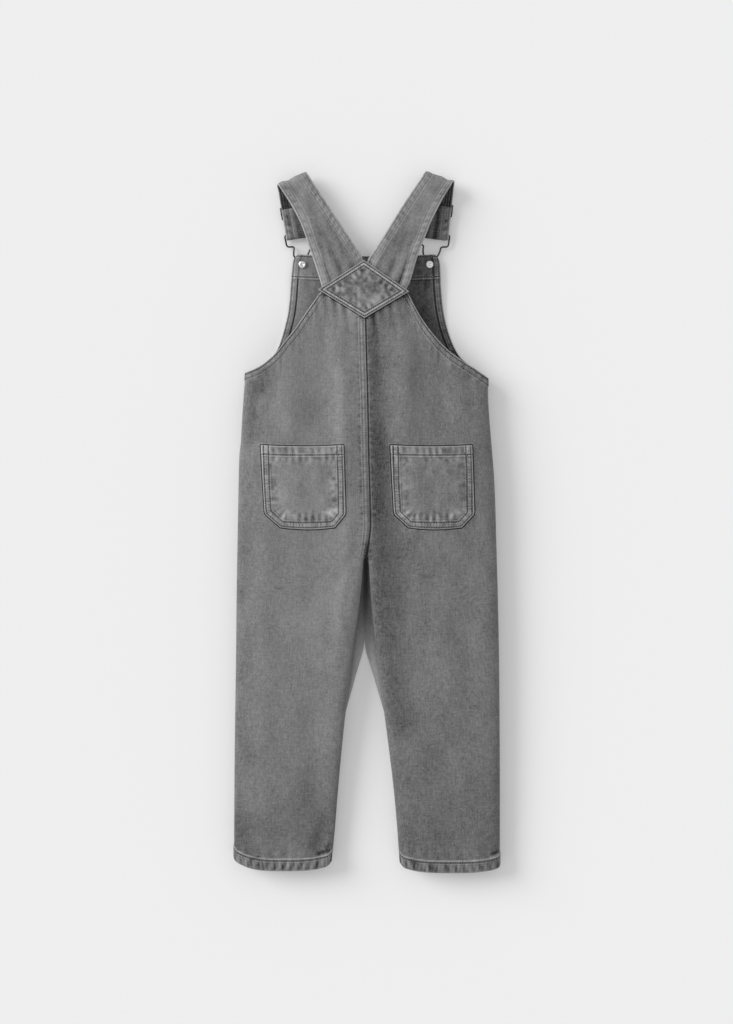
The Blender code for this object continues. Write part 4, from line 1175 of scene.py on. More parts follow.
def make_pocket(side):
    """A patch lying on the back panel, a little full in the middle, with a turned hem at its mouth."""
    row = spaced([(POCKET_TOP_Y, 79, 1.05), (79, 16, 1.4), (16, POCKET_FOOT_Y, 1.05)])[:, None]
    t = shares(POCKET_SPAN, (9, 9), 1.0, 1.3)
    x = between(*pocket_edges(side, row), t)
    level_y = np.broadcast_to(row, x.shape)
    down = (POCKET_TOP_Y - row) / (POCKET_TOP_Y - POCKET_FOOT_Y)
    across = np.broadcast_to(4 * t * (1 - t), x.shape)
    y = level_y - pocket_sag(side, x, level_y)
    seed = SEEDS["pocket"][side]

    from_edge, run = from_outline(x, level_y, pocket_corners(side))
    from_mouth = POCKET_TOP_Y - level_y
    mouth = step_down(from_mouth, MOUTH_HEM, 0.8)
    tall = [(cx, cy + (60 if cy == POCKET_TOP_Y else 0)) for cx, cy in pocket_corners(side)]
    from_sewn, _ = from_outline(x, level_y, tall)
    sewn = np.where(from_mouth <= from_edge + 0.01, 0.0, 1.0)
    at_sides = sum(bump_at(from_sewn - d, 0.75) for d in POCKET_EDGE_ROWS)
    at_mouth = bump_at(from_mouth - MOUTH_ROW, 0.85)
    channel = np.clip(at_sides + at_mouth, 0, 1)
    mouth_puckers = ripple(x + 0.12 * y, 7.8, seed) * bump_at(from_mouth - 5.6, 4.2)
    mouth_puckers *= smooth((across - 0.2) / 0.2)
    low = smooth((40 - level_y) / 40)
    edge_puckers = ripple(run, 8.0, seed + 1) * bump_at(from_edge - 13.0, 5.5)
    edge_puckers *= (0.3 + 0.7 * low) * (1 - mouth)
    tiny = ripple(run, 3.6, seed + 2) * bump_at(from_edge - 4.5, 2.6) * sewn
    corner = smooth((30 - level_y) / 20) * smooth((0.62 - across) / 0.4)
    corner_puff = corner * bump_at(from_edge - 13.5, 5.5) * (0.5 + 0.6 * mottle(x, y, 6, seed + 3))
    below_mouth = ripple(x, 8.0, seed + 4) * bump_at(from_mouth - 16, 3.6)
    patches = np.zeros_like(x)
    for cx, cy in WORN_SPOTS[side]:
        strength = 0.5 if cy > 60 else 1.0
        spot = bump_at(np.hypot(x - cx, y - cy), 5.5) * (0.9 + 0.8 * mottle(x, y, 3.5, seed + 10))
        patches += spot * strength
    full = POCKET_FULLNESS * across * (1 - down**3)
    soft = 0.22 * mottle(x, y, 12, seed + 5) + 0.12 * mottle(x, y, 5, seed + 6)
    relief = (
        0.42 * mouth_puckers + 0.55 * edge_puckers + 0.14 * tiny + 0.7 * corner_puff + 0.3 * below_mouth
        + 0.5 * patches
        + soft * smooth(from_edge / 9) + 0.4 * mouth + 0.35 * step_down(from_edge, 9.2, 1.0) * sewn
        - 0.45 * channel
    )
    under = back_level(x, y) + 0.35 + full
    top = under + CLOTH + relief
    inner = np.stack([x, y, under], axis=-1)
    outer = np.stack([x, y, top], axis=-1)
    # Painted shadow in dark lines at the foot of the mouth hem and of the raised edge band; seam channels
    # darker, partly dye kept in the sunk seams and partly painted shade; painted light on the left pocket
    # and painted shade on the right one.
    fade = (
        1.5 * mouth_puckers + 1.4 * edge_puckers + 1.3 * tiny + 1.9 * corner_puff + 0.9 * below_mouth
        + 1.5 * patches
        + 0.8 * mottle(x, y, 4.0, seed + 8) * bump_at(from_edge - 12, 7) + 0.15 * mottle(x, y, 9, seed + 9)
        + 0.05 * mouth - 0.4 * bump_at(from_mouth - 13.8, 1.0) - 0.5 * channel
        - 0.4 * bump_at(from_edge - 10.2, 0.9) * (1 - mouth)
        + 0.2 * mottle(x, y * 0.7, 20, seed + 7) + 0.22 * mottle(x, y * 0.5, 7, seed + 11)
        + (0.14 if side == "left" else -0.32)
    )
    fade = held_above(fade, -0.7, 0.4)
    piece = cloth_wall(
        "pocket_%s_cloth" % side, outer, inner, np.stack([x + 13, y + 800], axis=-1), fade, 0.9,
        sewn=(
            from_sewn - POCKET_EDGE_ROWS[0],
            nearest(from_sewn - POCKET_EDGE_ROWS[1], from_mouth - MOUTH_ROW),
            nearest(from_edge, np.hypot(from_mouth - MOUTH_HEM, 0.8)),
        ),
    )
    return finish_cloth(
        piece, inner, replaced=["pocket_" + side], turned_in=0.012
    )


def make_yoke():
    """The diamond patch over the strap ends and the tops of the back panels."""
    left, top, right, bottom = (np.array(corner) for corner in YOKE_CORNERS)
    share = shares(YOKE_SPAN, (8, 8), 0.8, 1.15)
    w, v = np.meshgrid(share, share)
    a = left + (top - left) * w[..., None]
    b = bottom + (right - bottom) * w[..., None]
    flat = a + (b - a) * v[..., None]
    x, y = flat[..., 0], flat[..., 1]
    from_edge, run = from_outline(x, y, YOKE_CORNERS)
    channel = np.clip(sum(bump_at(from_edge - d, 0.7) for d in YOKE_EDGE_ROWS), 0, 1)
    rim = step_down(from_edge, YOKE_RIM + 0.9, 1.1)
    puff = 0.7 * mottle(x + 0.3 * y, y * 0.8, 6.0, 151) + 0.5 * mottle(x, y, 3.2, 152)
    puckers = ripple(run, 8.0, 153) * bump_at(from_edge - 9.5, 3.2)
    tiny = ripple(run, 3.4, 154) * bump_at(from_edge - 3.3, 2.0)
    middle = smooth((from_edge - 6.2) / 5)
    lift = 0.5 * puff * middle + 0.5 * puckers + 0.09 * tiny + 0.45 * rim - 0.5 * channel
    seam_ridge = bump_at(x - along(CENTRE_SEAM, y), 4.5) * (y < 286) * 0.4
    under = back_level(x, y) + 1.15
    inner = np.stack([x, y, under], axis=-1)
    outer = np.stack([x, y, under + YOKE_CLOTH + lift + seam_ridge * middle], axis=-1)
    # Seam channels darker, partly dye kept in the sunk seams and partly painted shade; a painted shadow
    # line at the foot of the raised rim.
    fade = (
        0.8 * bump_at(from_edge - 3.3, 0.9) - 0.75 * channel + 1.35 * puff * middle + 1.7 * puckers
        - 0.5 * bump_at(from_edge - 7.4, 0.9) + 0.9 * tiny + 0.05
    )
    fade = held_above(fade, -0.8, 0.5)
    piece = cloth_wall(
        "yoke_cloth", outer, inner, np.stack([x * 0.8 + y * 0.6, y + 1600], axis=-1), fade, 1.0,
        sewn=(from_edge - YOKE_EDGE_ROWS[0], from_edge - YOKE_EDGE_ROWS[1], from_edge),
    )
    return finish_cloth(
        piece, inner, replaced=["yoke"], turned_in=0.01
    )


# The straps

class FrontStrap:
    """The frame of a strap's front part: places are distances down the strap and across it."""

    def __init__(self, side):
        table = STRAPS[side]
        self.corner = Vector(table["outer"][0])
        self.down = (Vector(table["front_end"]) - self.corner).normalized()
        across = Vector((-self.down.y, self.down.x))
        self.across = across if across.x * self.corner.x < 0 else -across
        self.length = (Vector(table["front_end"]) - self.corner).length

    def point(self, along_strap, across_strap, z):
        flat = self.corner + self.down * along_strap + self.across * across_strap
        return Vector((flat.x, flat.y, z))


def with_midpoints(edge):
    """A strap edge's points, with the middles of a smooth curve between them; its last run is straight."""
    points = [Vector(p) for p in edge]
    full = []
    for k in range(len(points) - 2):
        a, b = points[k], points[k + 1]
        beyond = points[max(k - 1, 0)] + points[min(k + 2, len(points) - 2)]
        full += [a, (9 * (a + b) - beyond) / 16]
    return full + points[-2:]


def strap_stations(side):
    """Pairs of edge points, outer and inner, down the whole strap from the yoke to its sewn end."""
    table, front = STRAPS[side], FrontStrap(side)
    outer, inner = with_midpoints(table["outer"]), with_midpoints(table["inner"])
    crease = (inner[0] - outer[0]).normalized()
    up = Vector((-crease.y, crease.x))
    up = up if up.y > 0 else -up
    depth = SHOULDER_RADIUS + STRAP_CLOTH / 2

    def behind(point, direction):
        """The point on a strap edge that lies one fold depth below the shoulder crease."""
        return point + direction * (depth / -direction.dot(up))

    back_start = [behind(edge[0], (edge[1] - edge[0]).normalized()) for edge in (outer, inner)]
    front_start = [behind(outer[0], front.down), behind(inner[0], front.down)]
    stations = []
    for k in range(len(outer) - 1, 0, -1):
        pair = []
        for x, y in (outer[k], inner[k]):
            climb = float(smooth((y - STRAP_LEVEL_Y) / (STRAP_SHOULDER_Y - STRAP_LEVEL_Y)))
            level = float(back_level(np.array(x), np.array(y))) - STRAP_CLOTH / 2
            pair.append(Vector((x, y, between(level, SHOULDER_TOP, climb))))
        stations.append(pair)
    for k in range(SHOULDER_STEPS + 1):
        angle = math.pi / 2 - math.pi * k / SHOULDER_STEPS
        pair = []
        for start, end in zip(back_start, front_start):
            flat = start.lerp(end, k / SHOULDER_STEPS) + up * (SHOULDER_RADIUS * math.cos(angle))
            z = SHOULDER_TOP - SHOULDER_RADIUS + SHOULDER_RADIUS * math.sin(angle)
            pair.append(Vector((flat.x, flat.y, z)))
        stations.append(pair)

    def straight(place, z, skew=0.0):
        stations.append([front.point(place, 0, z), front.point(place + skew, STRAP_WIDTH, z)])

    skew = (front_start[1] - front.corner).dot(front.down) - depth
    for place, share in SHOULDER_DESCENT:
        descent = float(smooth(share))
        straight(place, between(MAIN_LAYER, SHOULDER_TOP - 2 * SHOULDER_RADIUS, descent), skew * share)
    fold = front.length - LOOP_RADIUS - STRAP_CLOTH / 2
    for place in (SLIDE_PLACE, between(SLIDE_PLACE, fold, 0.5), fold):
        straight(place, MAIN_LAYER)
    for k in range(1, LOOP_STEPS + 1):
        angle = math.pi * k / LOOP_STEPS
        middle = (MAIN_LAYER + RETURN_LAYER) / 2
        straight(fold + LOOP_RADIUS * math.sin(angle), middle - LOOP_RADIUS * math.cos(angle))
    for place, z in RETURN_CLIMB:
        straight(SLIDE_PLACE + place, z)
    turn = (OVER_BAR_LAYER - UNDER_BAR_LAYER) / 2
    for k in range(WRAP_STEPS + 1):
        angle = math.pi * k / WRAP_STEPS
        place = SLIDE_PLACE - WRAP_BEFORE_BAR - turn * math.sin(angle)
        straight(place, OVER_BAR_LAYER - turn * (1 - math.cos(angle)))
    straight(SLIDE_PLACE + STRAP_TAIL, UNDER_BAR_LAYER)
    return stations


def strap_line(knots, places, at):
    """Points at these places on the smooth curve through a row of knots."""
    tangents = np.empty_like(knots)
    spans = np.diff(places)[:, None]
    slopes = np.diff(knots, axis=0) / spans
    tangents[1:-1] = (slopes[:-1] * spans[1:] + slopes[1:] * spans[:-1]) / (spans[:-1] + spans[1:])
    tangents[0], tangents[-1] = slopes[0], slopes[-1]
    i = np.clip(np.searchsorted(places, at, side="right") - 1, 0, len(places) - 2)
    span = (places[i + 1] - places[i])[:, None]
    return on_curve(knots, tangents, i, span, (at - places[i])[:, None] / span)


def make_strap(side):
    """A strap from the yoke over the shoulder fold to its buckle; returns its rows of sewing."""
    stations = np.array([[list(p) for p in pair] for pair in strap_stations(side)])
    middle = stations.mean(axis=1)
    places = arc_length(*middle.T)
    at = np.linspace(0, places[-1], round(places[-1] / 1.25))
    edges = [strap_line(stations[:, k], places, at) for k in (0, 1)]
    share = shares(STRAP_SPAN, (10, 10), 0.9, 1.3)
    grid = edges[0][:, None] + (edges[1] - edges[0])[:, None] * share[:, None]
    near_fold = bump_at(at - at[grid[:, len(share) // 2, 1].argmax()], 16)[:, None]
    grid[..., 1] += near_fold * 1.1 * ripple(share * STRAP_SPAN + (3 if side == "left" else 9), 17.0, 230)
    run = np.gradient(grid, axis=0)
    span = (edges[1] - edges[0])[:, None] + 0 * grid
    normals = np.cross(span, run)
    normals /= np.linalg.norm(normals, axis=2, keepdims=True)
    normals *= 1 if normals[:60, :, 2].sum() > 0 else -1
    width = np.linalg.norm(edges[1] - edges[0], axis=1)[:, None]
    from_outer, from_inner = share * width, (1 - share) * width
    from_edge = np.minimum(from_outer, from_inner)
    place = np.broadcast_to(at[:, None], from_edge.shape)
    seed = SEEDS["strap"][side]
    channel = np.clip(sum(bump_at(from_edge - d, 0.8) for d in STRAP_EDGE_ROWS), 0, 1)
    edge_puckers = ripple(place + 0.6 * from_outer, 9.0, seed) * bump_at(from_outer - 5.0, 3.2)
    edge_puckers += ripple(place + 0.6 * from_inner, 8.0, seed + 1) * bump_at(from_inner - 5.0, 3.2)
    soft = 0.25 * mottle(from_outer * 1.2, place * 0.5, 9, seed + 2)
    flare = smooth((70 - place) / 60) * smooth((place - 4) / 10)
    gathers = ripple(from_outer * 0.9 + 0.1 * place, 13.0, seed + 3) * flare
    dent = bump_at(from_outer - 10.8, 1.4) * smooth((320 - grid[..., 1]) / 16) * (place < 100)
    relief = 0.24 * edge_puckers + (soft + 0.35 * gathers) * smooth(from_edge / 6)
    relief -= 0.4 * (channel + dent)
    half = STRAP_CLOTH / 2
    rounding = 0.35 * np.exp(-from_edge / 0.8)
    outer = grid + normals * (half + relief - rounding)[..., None]
    inner = grid - normals * (half - 0.26 * channel * 0.6 - rounding)[..., None]
    band = step_down(from_edge, 8.0, 1.0)
    past = place - at[grid[:, len(share) // 2, 1].argmax()]
    returned = ripple(from_outer + 0.05 * place, 9.5, seed + 5) * smooth((past - 62) / 8)
    returned *= smooth(from_edge / 5)
    # Painted shade down the strap's front part past the shoulder fold, in the fold's shade, darker on the
    # right strap.
    fade = (
        0.7 * edge_puckers + 0.8 * gathers + 0.15 * band + 0.8 * returned
        - (0.75 if side == "left" else 1.3) * smooth((past - 10) / 20)
        - 1.1 * dent - 0.3 * smooth((from_edge - 8) / 4) * smooth((130 - place) / 80)
        + 0.3 * mottle(from_outer, place * 0.3, 4.5, seed + 6)
        + 0.25 * mottle(from_outer, place * 0.4, 9, seed + 4)
    )
    # underside_painted_shade is painted shade on the inner face inside the shoulder fold.
    piece = cloth_wall(
        "strap_%s_cloth" % side, outer, inner, np.stack([from_outer + 600, place], axis=-1), fade, 0.8,
        underside_painted_shade=-1.9 * smooth((past + 6) / 6) * (1 - smooth((past - 44) / 8)),
        sewn=(
            np.hypot(from_edge - STRAP_EDGE_ROWS[0] - 0.5, 0.65),
            np.hypot(from_edge - STRAP_EDGE_ROWS[1], 0.72),
            from_edge,
        ),
    )
    finish_cloth(piece, grid, replaced=["strap_" + side], turned_in=0.003)
    sewing = []
    for distance in STRAP_EDGE_ROWS:
        for k in (0, 1):
            sewing.append(strap_row(outer, normals, share, width[:, 0], distance, k, at))
    return sewing


def strap_row(outer, normals, share, width, distance, k, at):
    """A row of sewing at one distance from a strap's edge, on its face."""
    first, last = 3, len(at) - 4
    wanted = distance / width if k == 0 else 1 - distance / width
    points, ups = [], []
    for i in range(first, last):
        points.append([np.interp(wanted[i], share, outer[i, :, c]) for c in range(3)])
        ups.append([np.interp(wanted[i], share, normals[i, :, c]) for c in range(3)])
    return np.array(points), np.array(ups)


# Metal parts

def wire_points(side):
    """The closed loop of the wire: square to the strap at its bar, then over to the button."""
    front = FrontStrap(side)
    bar = front.point(front.length - WIRE_BAR_ABOVE_FOLD, STRAP_WIDTH / 2, 0).to_2d()
    to_button = Vector(STRAPS[side]["button"]) - bar
    sideways, reach = to_button.dot(front.across), to_button.dot(front.down)
    stretch = (reach + WIRE_BELOW_BUTTON) / WIRE_PATH[-1][1]
    half = WIRE_PATH + [(-x, y, z) for x, y, z in WIRE_PATH[-2:0:-1]]
    knots = []
    for x, y, z in half:
        shift = sideways * float(smooth((y - WIRE_SHOULDER) / (WIRE_PATH[-1][1] - 2 * WIRE_SHOULDER)))
        knots.append(Vector((*(bar + front.across * (x + shift) + front.down * (y * stretch)), z)))
    count = len(knots)
    points = []
    for i in range(count):
        p0, p1, p2, p3 = (knots[(i + k) % count] for k in (-1, 0, 1, 2))
        for t in (0.0, 0.2, 0.4, 0.6, 0.8):
            points.append(
                0.5 * ((2 * p1) + (p2 - p0) * t + (2 * p0 - 5 * p1 + 4 * p2 - p3) * t**2
                       + (3 * p1 - p0 - 3 * p2 + p3) * t**3)
            )
    return points


def finish_metal(obj, look, slot, *nodes):
    obj.data.materials.clear()
    obj.data.materials.append(look)
    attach(obj, "root")
    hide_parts(*nodes)
    return obj


def plain_mesh(obj):
    """The object's finished shape as an ordinary mesh, with no modifiers left on it."""
    finished = bpy.data.meshes.new_from_object(obj.evaluated_get(bpy.context.evaluated_depsgraph_get()))
    name = obj.name
    bpy.data.objects.remove(obj, do_unlink=True)
    finished.name = name
    return placed(name, finished)


def make_wire_buckle(side):
    points = wire_points(side)
    curve = bpy.data.curves.new("wire_" + side, "CURVE")
    curve.dimensions = "3D"
    curve.bevel_depth = WIRE / 2 * MM
    curve.bevel_resolution = 4
    spline = curve.splines.new("POLY")
    spline.points.add(len(points) - 1)
    for knot, p in zip(spline.points, points):
        knot.co = (*(p * MM), 1)
    spline.use_cyclic_u = True
    obj = plain_mesh(placed("wire_buckle_" + side, curve))
    obj.data.shade_smooth()
    return finish_metal(obj, dark_steel(), "dark_steel", "buckle_" + side)


def make_slide(side):
    """A plate with two slots, bent so that its middle bar stands above the strap, with softened edges."""
    front = FrontStrap(side)
    half = SLIDE_BAR / 2
    step = SLIDE_BAR + SLIDE_SLOT
    downs = [-step - half, -step + half, -half, half, step - half, step + half]
    lows = [SLIDE_LOW, SLIDE_LOW, SLIDE_HIGH, SLIDE_HIGH, SLIDE_LOW, SLIDE_LOW]
    reach = SEAM_GAP + SLIDE_SIDE
    acrosses = [-reach, -SEAM_GAP, STRAP_WIDTH + SEAM_GAP, STRAP_WIDTH + reach]
    wide = len(acrosses)
    points = [
        front.point(SLIDE_PLACE + down, across, low + lift)
        for lift in (0.0, SLIDE_THICKNESS)
        for down, low in zip(downs, lows)
        for across in acrosses
    ]

    def at(layer, i, j):
        return (layer * len(downs) + i) * wide + j

    cells = {(i, j) for i in range(len(downs) - 1) for j in range(wide - 1)} - {(1, 1), (3, 1)}
    faces = []
    for i, j in sorted(cells):
        faces.append([at(1, i, j), at(1, i, j + 1), at(1, i + 1, j + 1), at(1, i + 1, j)])
        faces.append([at(0, i, j), at(0, i + 1, j), at(0, i + 1, j + 1), at(0, i, j + 1)])
        edges = {
            (i - 1, j): ((i, j), (i, j + 1)),
            (i + 1, j): ((i + 1, j + 1), (i + 1, j)),
            (i, j - 1): ((i + 1, j), (i, j)),
            (i, j + 1): ((i, j + 1), (i + 1, j + 1)),
        }
        for beyond, (a, b) in edges.items():
            if beyond not in cells:
                faces.append([at(0, *a), at(0, *b), at(1, *b), at(1, *a)])
    obj = new_mesh_object("slide_" + side, np.array([list(p) for p in points]), np.array(faces))
    turn_outwards(obj.data)
    bevel = obj.modifiers.new("soft edges", "BEVEL")
    bevel.width = SLIDE_EDGE * MM
    bevel.segments = 3
    bevel.limit_method = "ANGLE"
    obj = plain_mesh(obj)
    obj.data.set_sharp_from_angle(angle=math.radians(40))
    return finish_metal(obj, dark_steel(), "dark_steel", "slider_" + side)


def turn_outwards(mesh):
    shape = bmesh.new()
    shape.from_mesh(mesh)
    bmesh.ops.recalc_face_normals(shape, faces=shape.faces)
    shape.to_mesh(mesh)
    shape.free()


def turned(name, centre, profile, steps=44):
    """A round solid through a profile of radius and height that starts and ends on its axis."""
    angles = np.linspace(0, 2 * math.pi, steps, endpoint=False)
    rings = np.array(profile[1:-1], float)
    points = np.stack([
        centre[0] + rings[:, :1] * np.cos(angles),
        centre[1] + rings[:, :1] * np.sin(angles),
        rings[:, 1:] + 0 * angles,
    ], axis=-1).reshape(-1, 3)
    first, last = len(points), len(points) + 1
    points = np.concatenate([points, [[*centre, profile[0][1]], [*centre, profile[-1][1]]]])
    mesh = bpy.data.meshes.new(name)
    faces = []
    for i in range(len(rings) - 1):
        for k in range(steps):
            n = (k + 1) % steps
            faces.append((i * steps + k, i * steps + n, (i + 1) * steps + n, (i + 1) * steps + k))
    top = (len(rings) - 1) * steps
    for k in range(steps):
        n = (k + 1) % steps
        faces.append((first, n, k))
        faces.append((last, top + k, top + n))
    mesh.from_pydata([tuple(p * MM) for p in points], [], faces)
    mesh.shade_smooth()
    mesh.set_sharp_from_angle(angle=math.radians(50))
    turn_outwards(mesh)
    return placed(name, mesh)


def make_button(side):
    """The bib button outside, and the domed tack head that shows on the inside of the bib."""
    centre = STRAPS[side]["button"]
    parts = (("button_cap_", BUTTON_RINGS, "button_"), ("tack_head_", TACK_RINGS, "tack_"))
    for name, rings, node in parts:
        finish_metal(turned(name + side, centre, rings), nickel(), "nickel", node + side)


# Rows of sewing

def dropped(piece, flat, start=60.0, lift=0.12):
    """Points in millimetres where places seen from above (or below, from a start under 0) meet a piece."""
    tree = BVHTree.FromObject(bpy.data.objects[piece], bpy.context.evaluated_depsgraph_get())
    ray = Vector((0, 0, -1 if start > 0 else 1))
    points, ups = [], []
    for x, y in flat:
        hit, normal, _, _ = tree.ray_cast(Vector((x, y, start)) * MM, ray)
        if hit is None:
            continue
        normal = -normal if normal.dot(ray) > 0 else normal
        points.append(hit / MM + normal * lift)
        ups.append(normal)
    return np.array(points), np.array(ups)


def inset_outline(corners, distance):
    """The corners of a convex outline moved inwards by a distance."""
    flat = [Vector(c) for c in corners]
    centre = sum(flat, Vector((0, 0))) / len(flat)
    moved = []
    for i, corner in enumerate(flat):
        normals = []
        for other in (flat[i - 1], flat[(i + 1) % len(flat)]):
            side = (other - corner).normalized()
            normal = Vector((-side.y, side.x))
            normals.append(normal if normal.dot(centre - corner) > 0 else -normal)
        a, b = normals
        moved.append(corner + (a + b) * (distance / (1 + a.dot(b))))
    return moved


def walked(corners, step=1.2):
    """Evenly spaced places along straight runs between corners."""
    places = []
    for a, b in zip(corners, corners[1:]):
        count = max(1, round((Vector(b) - Vector(a)).length / step))
        places += [Vector(a).lerp(Vector(b), k / count) for k in range(count)]
    return [tuple(p) for p in places] + [tuple(corners[-1])]


def back_sewing(side):
    u = np.linspace(0.0, 1.0, 150)
    top, stretch = armhole_top(side, u)
    piece = "back_%s_cloth" % side
    rows = []
    for distance in SEAM_ROWS:
        y = top - distance * stretch
        x = column_x(side, u, y)
        shown = (np.abs(x) > 50) & (u < 0.985)
        rows.append(dropped(piece, zip(x[shown], y[shown])))
    if side == "left":
        y = np.linspace(YOKE_BOTTOM[1] - 2, CROTCH_Y + 3, 240)
        rows += [dropped(piece, zip(inner_x(side, y) - d, y)) for d in FELL_ROWS]
    u = np.linspace(0.012, 0.988, 90)
    y = hem_y(side, 2 * u - 1) + HEM_ROW
    rows.append(dropped(piece, zip(column_x(side, u, y), y)))
    return rows


def front_sewing(side):
    piece = "front_%s_cloth" % side
    rows = []
    u = np.linspace(0.02, 0.97, 80)
    for distance in WAIST_ROWS:
        y = np.full(len(u), WAIST_Y - SCENE_GAP / 2 - distance)
        rows.append(dropped(piece, zip(column_x(side, u, y), y), start=-20.0))
    hem = hem_y(side, 2 * u - 1) + HEM_DEPTH - 1.0
    rows.append(dropped(piece, zip(column_x(side, u, hem), hem), start=-20.0))
    if side == "right":
        y = np.linspace(WAIST_Y - 9, CROTCH_Y + 6, 120)
        rows += [dropped(piece, zip(inner_x(side, y) + d, y), start=-20.0) for d in FELL_ROWS]
    return rows


def bib_sewing():
    rows = []
    y = np.linspace(BIB_TOP_Y - 2, 184, 110)
    left, right = bib_edges(y)
    for distance in BIB_SIDE_ROWS:
        rows.append(dropped("bib_cloth", zip(left + distance, y)))
        rows.append(dropped("bib_cloth", zip(right - distance, y)))
    t = np.linspace(-0.9, 0.9, 110)
    for distance in BAND_ROWS:
        y = BIB_TOP_Y - BIB_TOP_DIP * (1 - t * t) - distance
        left, right = bib_edges(y)
        rows.append(dropped("bib_cloth", zip(between(left, right, (t + 1) / 2), y)))
    return rows


def pocket_sewing(side):
    piece = "pocket_%s_cloth" % side
    from_end = 1.2
    runs = []
    for distance in POCKET_EDGE_ROWS:
        moved = [tuple(p) for p in inset_outline(pocket_corners(side), distance)]
        for end in (0, -1):
            moved[end] = (moved[end][0], POCKET_TOP_Y - from_end)
        runs.append(moved)
    mouth = POCKET_TOP_Y - MOUTH_ROW
    first, last = pocket_edges(side, mouth)
    inset = math.copysign(from_end, last - first)
    runs.append([(first + inset, mouth), (last - inset, mouth)])
    rows = []
    for run in runs:
        flat = np.array(walked(run))
        flat[:, 1] -= pocket_sag(side, flat[:, 0], flat[:, 1])
        rows.append(dropped(piece, flat))
    return rows


def yoke_sewing():
    rows = []
    for distance in YOKE_EDGE_ROWS:
        moved = inset_outline(YOKE_CORNERS, distance)
        rows.append(dropped("yoke_cloth", walked(moved + moved[:1])))
    return rows


def strap_end_sewing(side):
    """The row across the doubled end of a strap, between its fold and the slide."""
    front = FrontStrap(side)
    row = [front.point(front.length - STRAP_END_ROW, 1.5 + 0.95 * k, 0).to_2d() for k in range(35)]
    return [dropped("strap_%s_cloth" % side, row, start=11.0)]


def sewing_tree(length, thickness):
    """Geometry nodes that lay one rounded stitch after another along every row of points."""
    tree = bpy.data.node_groups.new("rows of stitches", "GeometryNodeTree")
    for label, kind, default in (
        ("Rows", "NodeSocketGeometry", None),
        ("Spacing", "NodeSocketFloat", 3.2 * MM),
        ("Stitch length", "NodeSocketFloat", length),
        ("Thread thickness", "NodeSocketFloat", thickness),
        ("Seed", "NodeSocketInt", 5),
        ("Thread", "NodeSocketMaterial", None),
    ):
        socket = tree.interface.new_socket(label, in_out="INPUT", socket_type=kind)
        if default is not None:
            socket.default_value = default
    tree.interface.new_socket("Stitches", in_out="OUTPUT", socket_type="NodeSocketGeometry")
    n = Nodes(tree)
    given = n.add("NodeGroupInput").outputs
    rows = n.add("GeometryNodeMeshToCurve", {}, {"Mesh": given["Rows"]})
    places = n.add(
        "GeometryNodeResampleCurve", {"mode": "LENGTH"}, {"Curve": rows, "Length": given["Spacing"]}
    )
    up = n.add("GeometryNodeInputNamedAttribute", {"data_type": "FLOAT_VECTOR"}, {"Name": "up"})
    level = n.add("FunctionNodeAlignRotationToVector", {"axis": "Z", "pivot_axis": "AUTO"}, {"Vector": up})
    aligned = n.add(
        "FunctionNodeAlignRotationToVector", {"axis": "X", "pivot_axis": "Z"},
        {"Rotation": level, "Vector": n.add("GeometryNodeInputTangent")},
    )
    slant = n.add(
        "FunctionNodeRandomValue", {"data_type": "FLOAT_VECTOR"},
        {0: (0.0, 0.0, -0.02), 1: (0.0, 0.0, 0.2), "Seed": given["Seed"]},
    )
    slanted = n.add(
        "FunctionNodeRotateRotation", {"rotation_space": "LOCAL"}, {"Rotation": aligned, "Rotate By": slant}
    )
    vary = n.add(
        "FunctionNodeRandomValue", {"data_type": "FLOAT"}, {2: 0.86, 3: 1.08, "Seed": given["Seed"]}
    )
    half_length = n.value(given["Stitch length"]) * 0.5 * n.value(vary.outputs[1])
    half_thick = n.value(given["Thread thickness"]) * 0.5
    size = n.add("ShaderNodeCombineXYZ", {}, {"X": half_length, "Y": half_thick, "Z": half_thick})
    bead = n.add("GeometryNodeMeshUVSphere", {}, {"Segments": 8, "Rings": 4, "Radius": 1.0})
    laid = n.add(
        "GeometryNodeInstanceOnPoints", {},
        {"Points": places, "Instance": bead, "Rotation": slanted, "Scale": size},
    )
    real = n.add("GeometryNodeRealizeInstances", {}, {"Geometry": laid})
    soft = n.add("GeometryNodeSetShadeSmooth", {}, {"Geometry": real})
    dyed = n.add("GeometryNodeSetMaterial", {}, {"Geometry": soft, "Material": given["Thread"]})
    n.add("NodeGroupOutput", {}, {"Stitches": dyed})
    return tree


def sew(name, rows, settings, seed):
    """Stitches along rows of points, as one plain mesh piece."""
    rows = [(points, ups) for points, ups in rows if len(points) > 2]
    points = np.concatenate([p for p, _ in rows])
    ups = np.concatenate([u for _, u in rows])
    edges, start = [], 0
    for row, _ in rows:
        edges += [(start + k, start + k + 1) for k in range(len(row) - 1)]
        start += len(row)
    mesh = bpy.data.meshes.new(name)
    mesh.from_pydata([tuple(p) for p in points * MM], edges, [])
    held = mesh.attributes.new("up", "FLOAT_VECTOR", "POINT")
    held.data.foreach_set("vector", ups.astype(np.float32).ravel())
    obj = placed(name, mesh)
    tree = bpy.data.node_groups.get("rows of stitches") or sewing_tree(settings.length, settings.thickness)
    nodes = obj.modifiers.new("stitches", "NODES")
    nodes.node_group = tree
    inputs = {item.name: item.identifier for item in tree.interface.items_tree if item.in_out == "INPUT"}
    nodes[inputs["Spacing"]] = settings.spacing
    nodes[inputs["Stitch length"]] = settings.length
    nodes[inputs["Thread thickness"]] = settings.thickness
    nodes[inputs["Seed"]] = seed
    nodes[inputs["Thread"]] = thread()
    obj = plain_mesh(obj)
    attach(obj, "root")
    return obj


# The stage: the camera's height and the floor's sizes are in metres

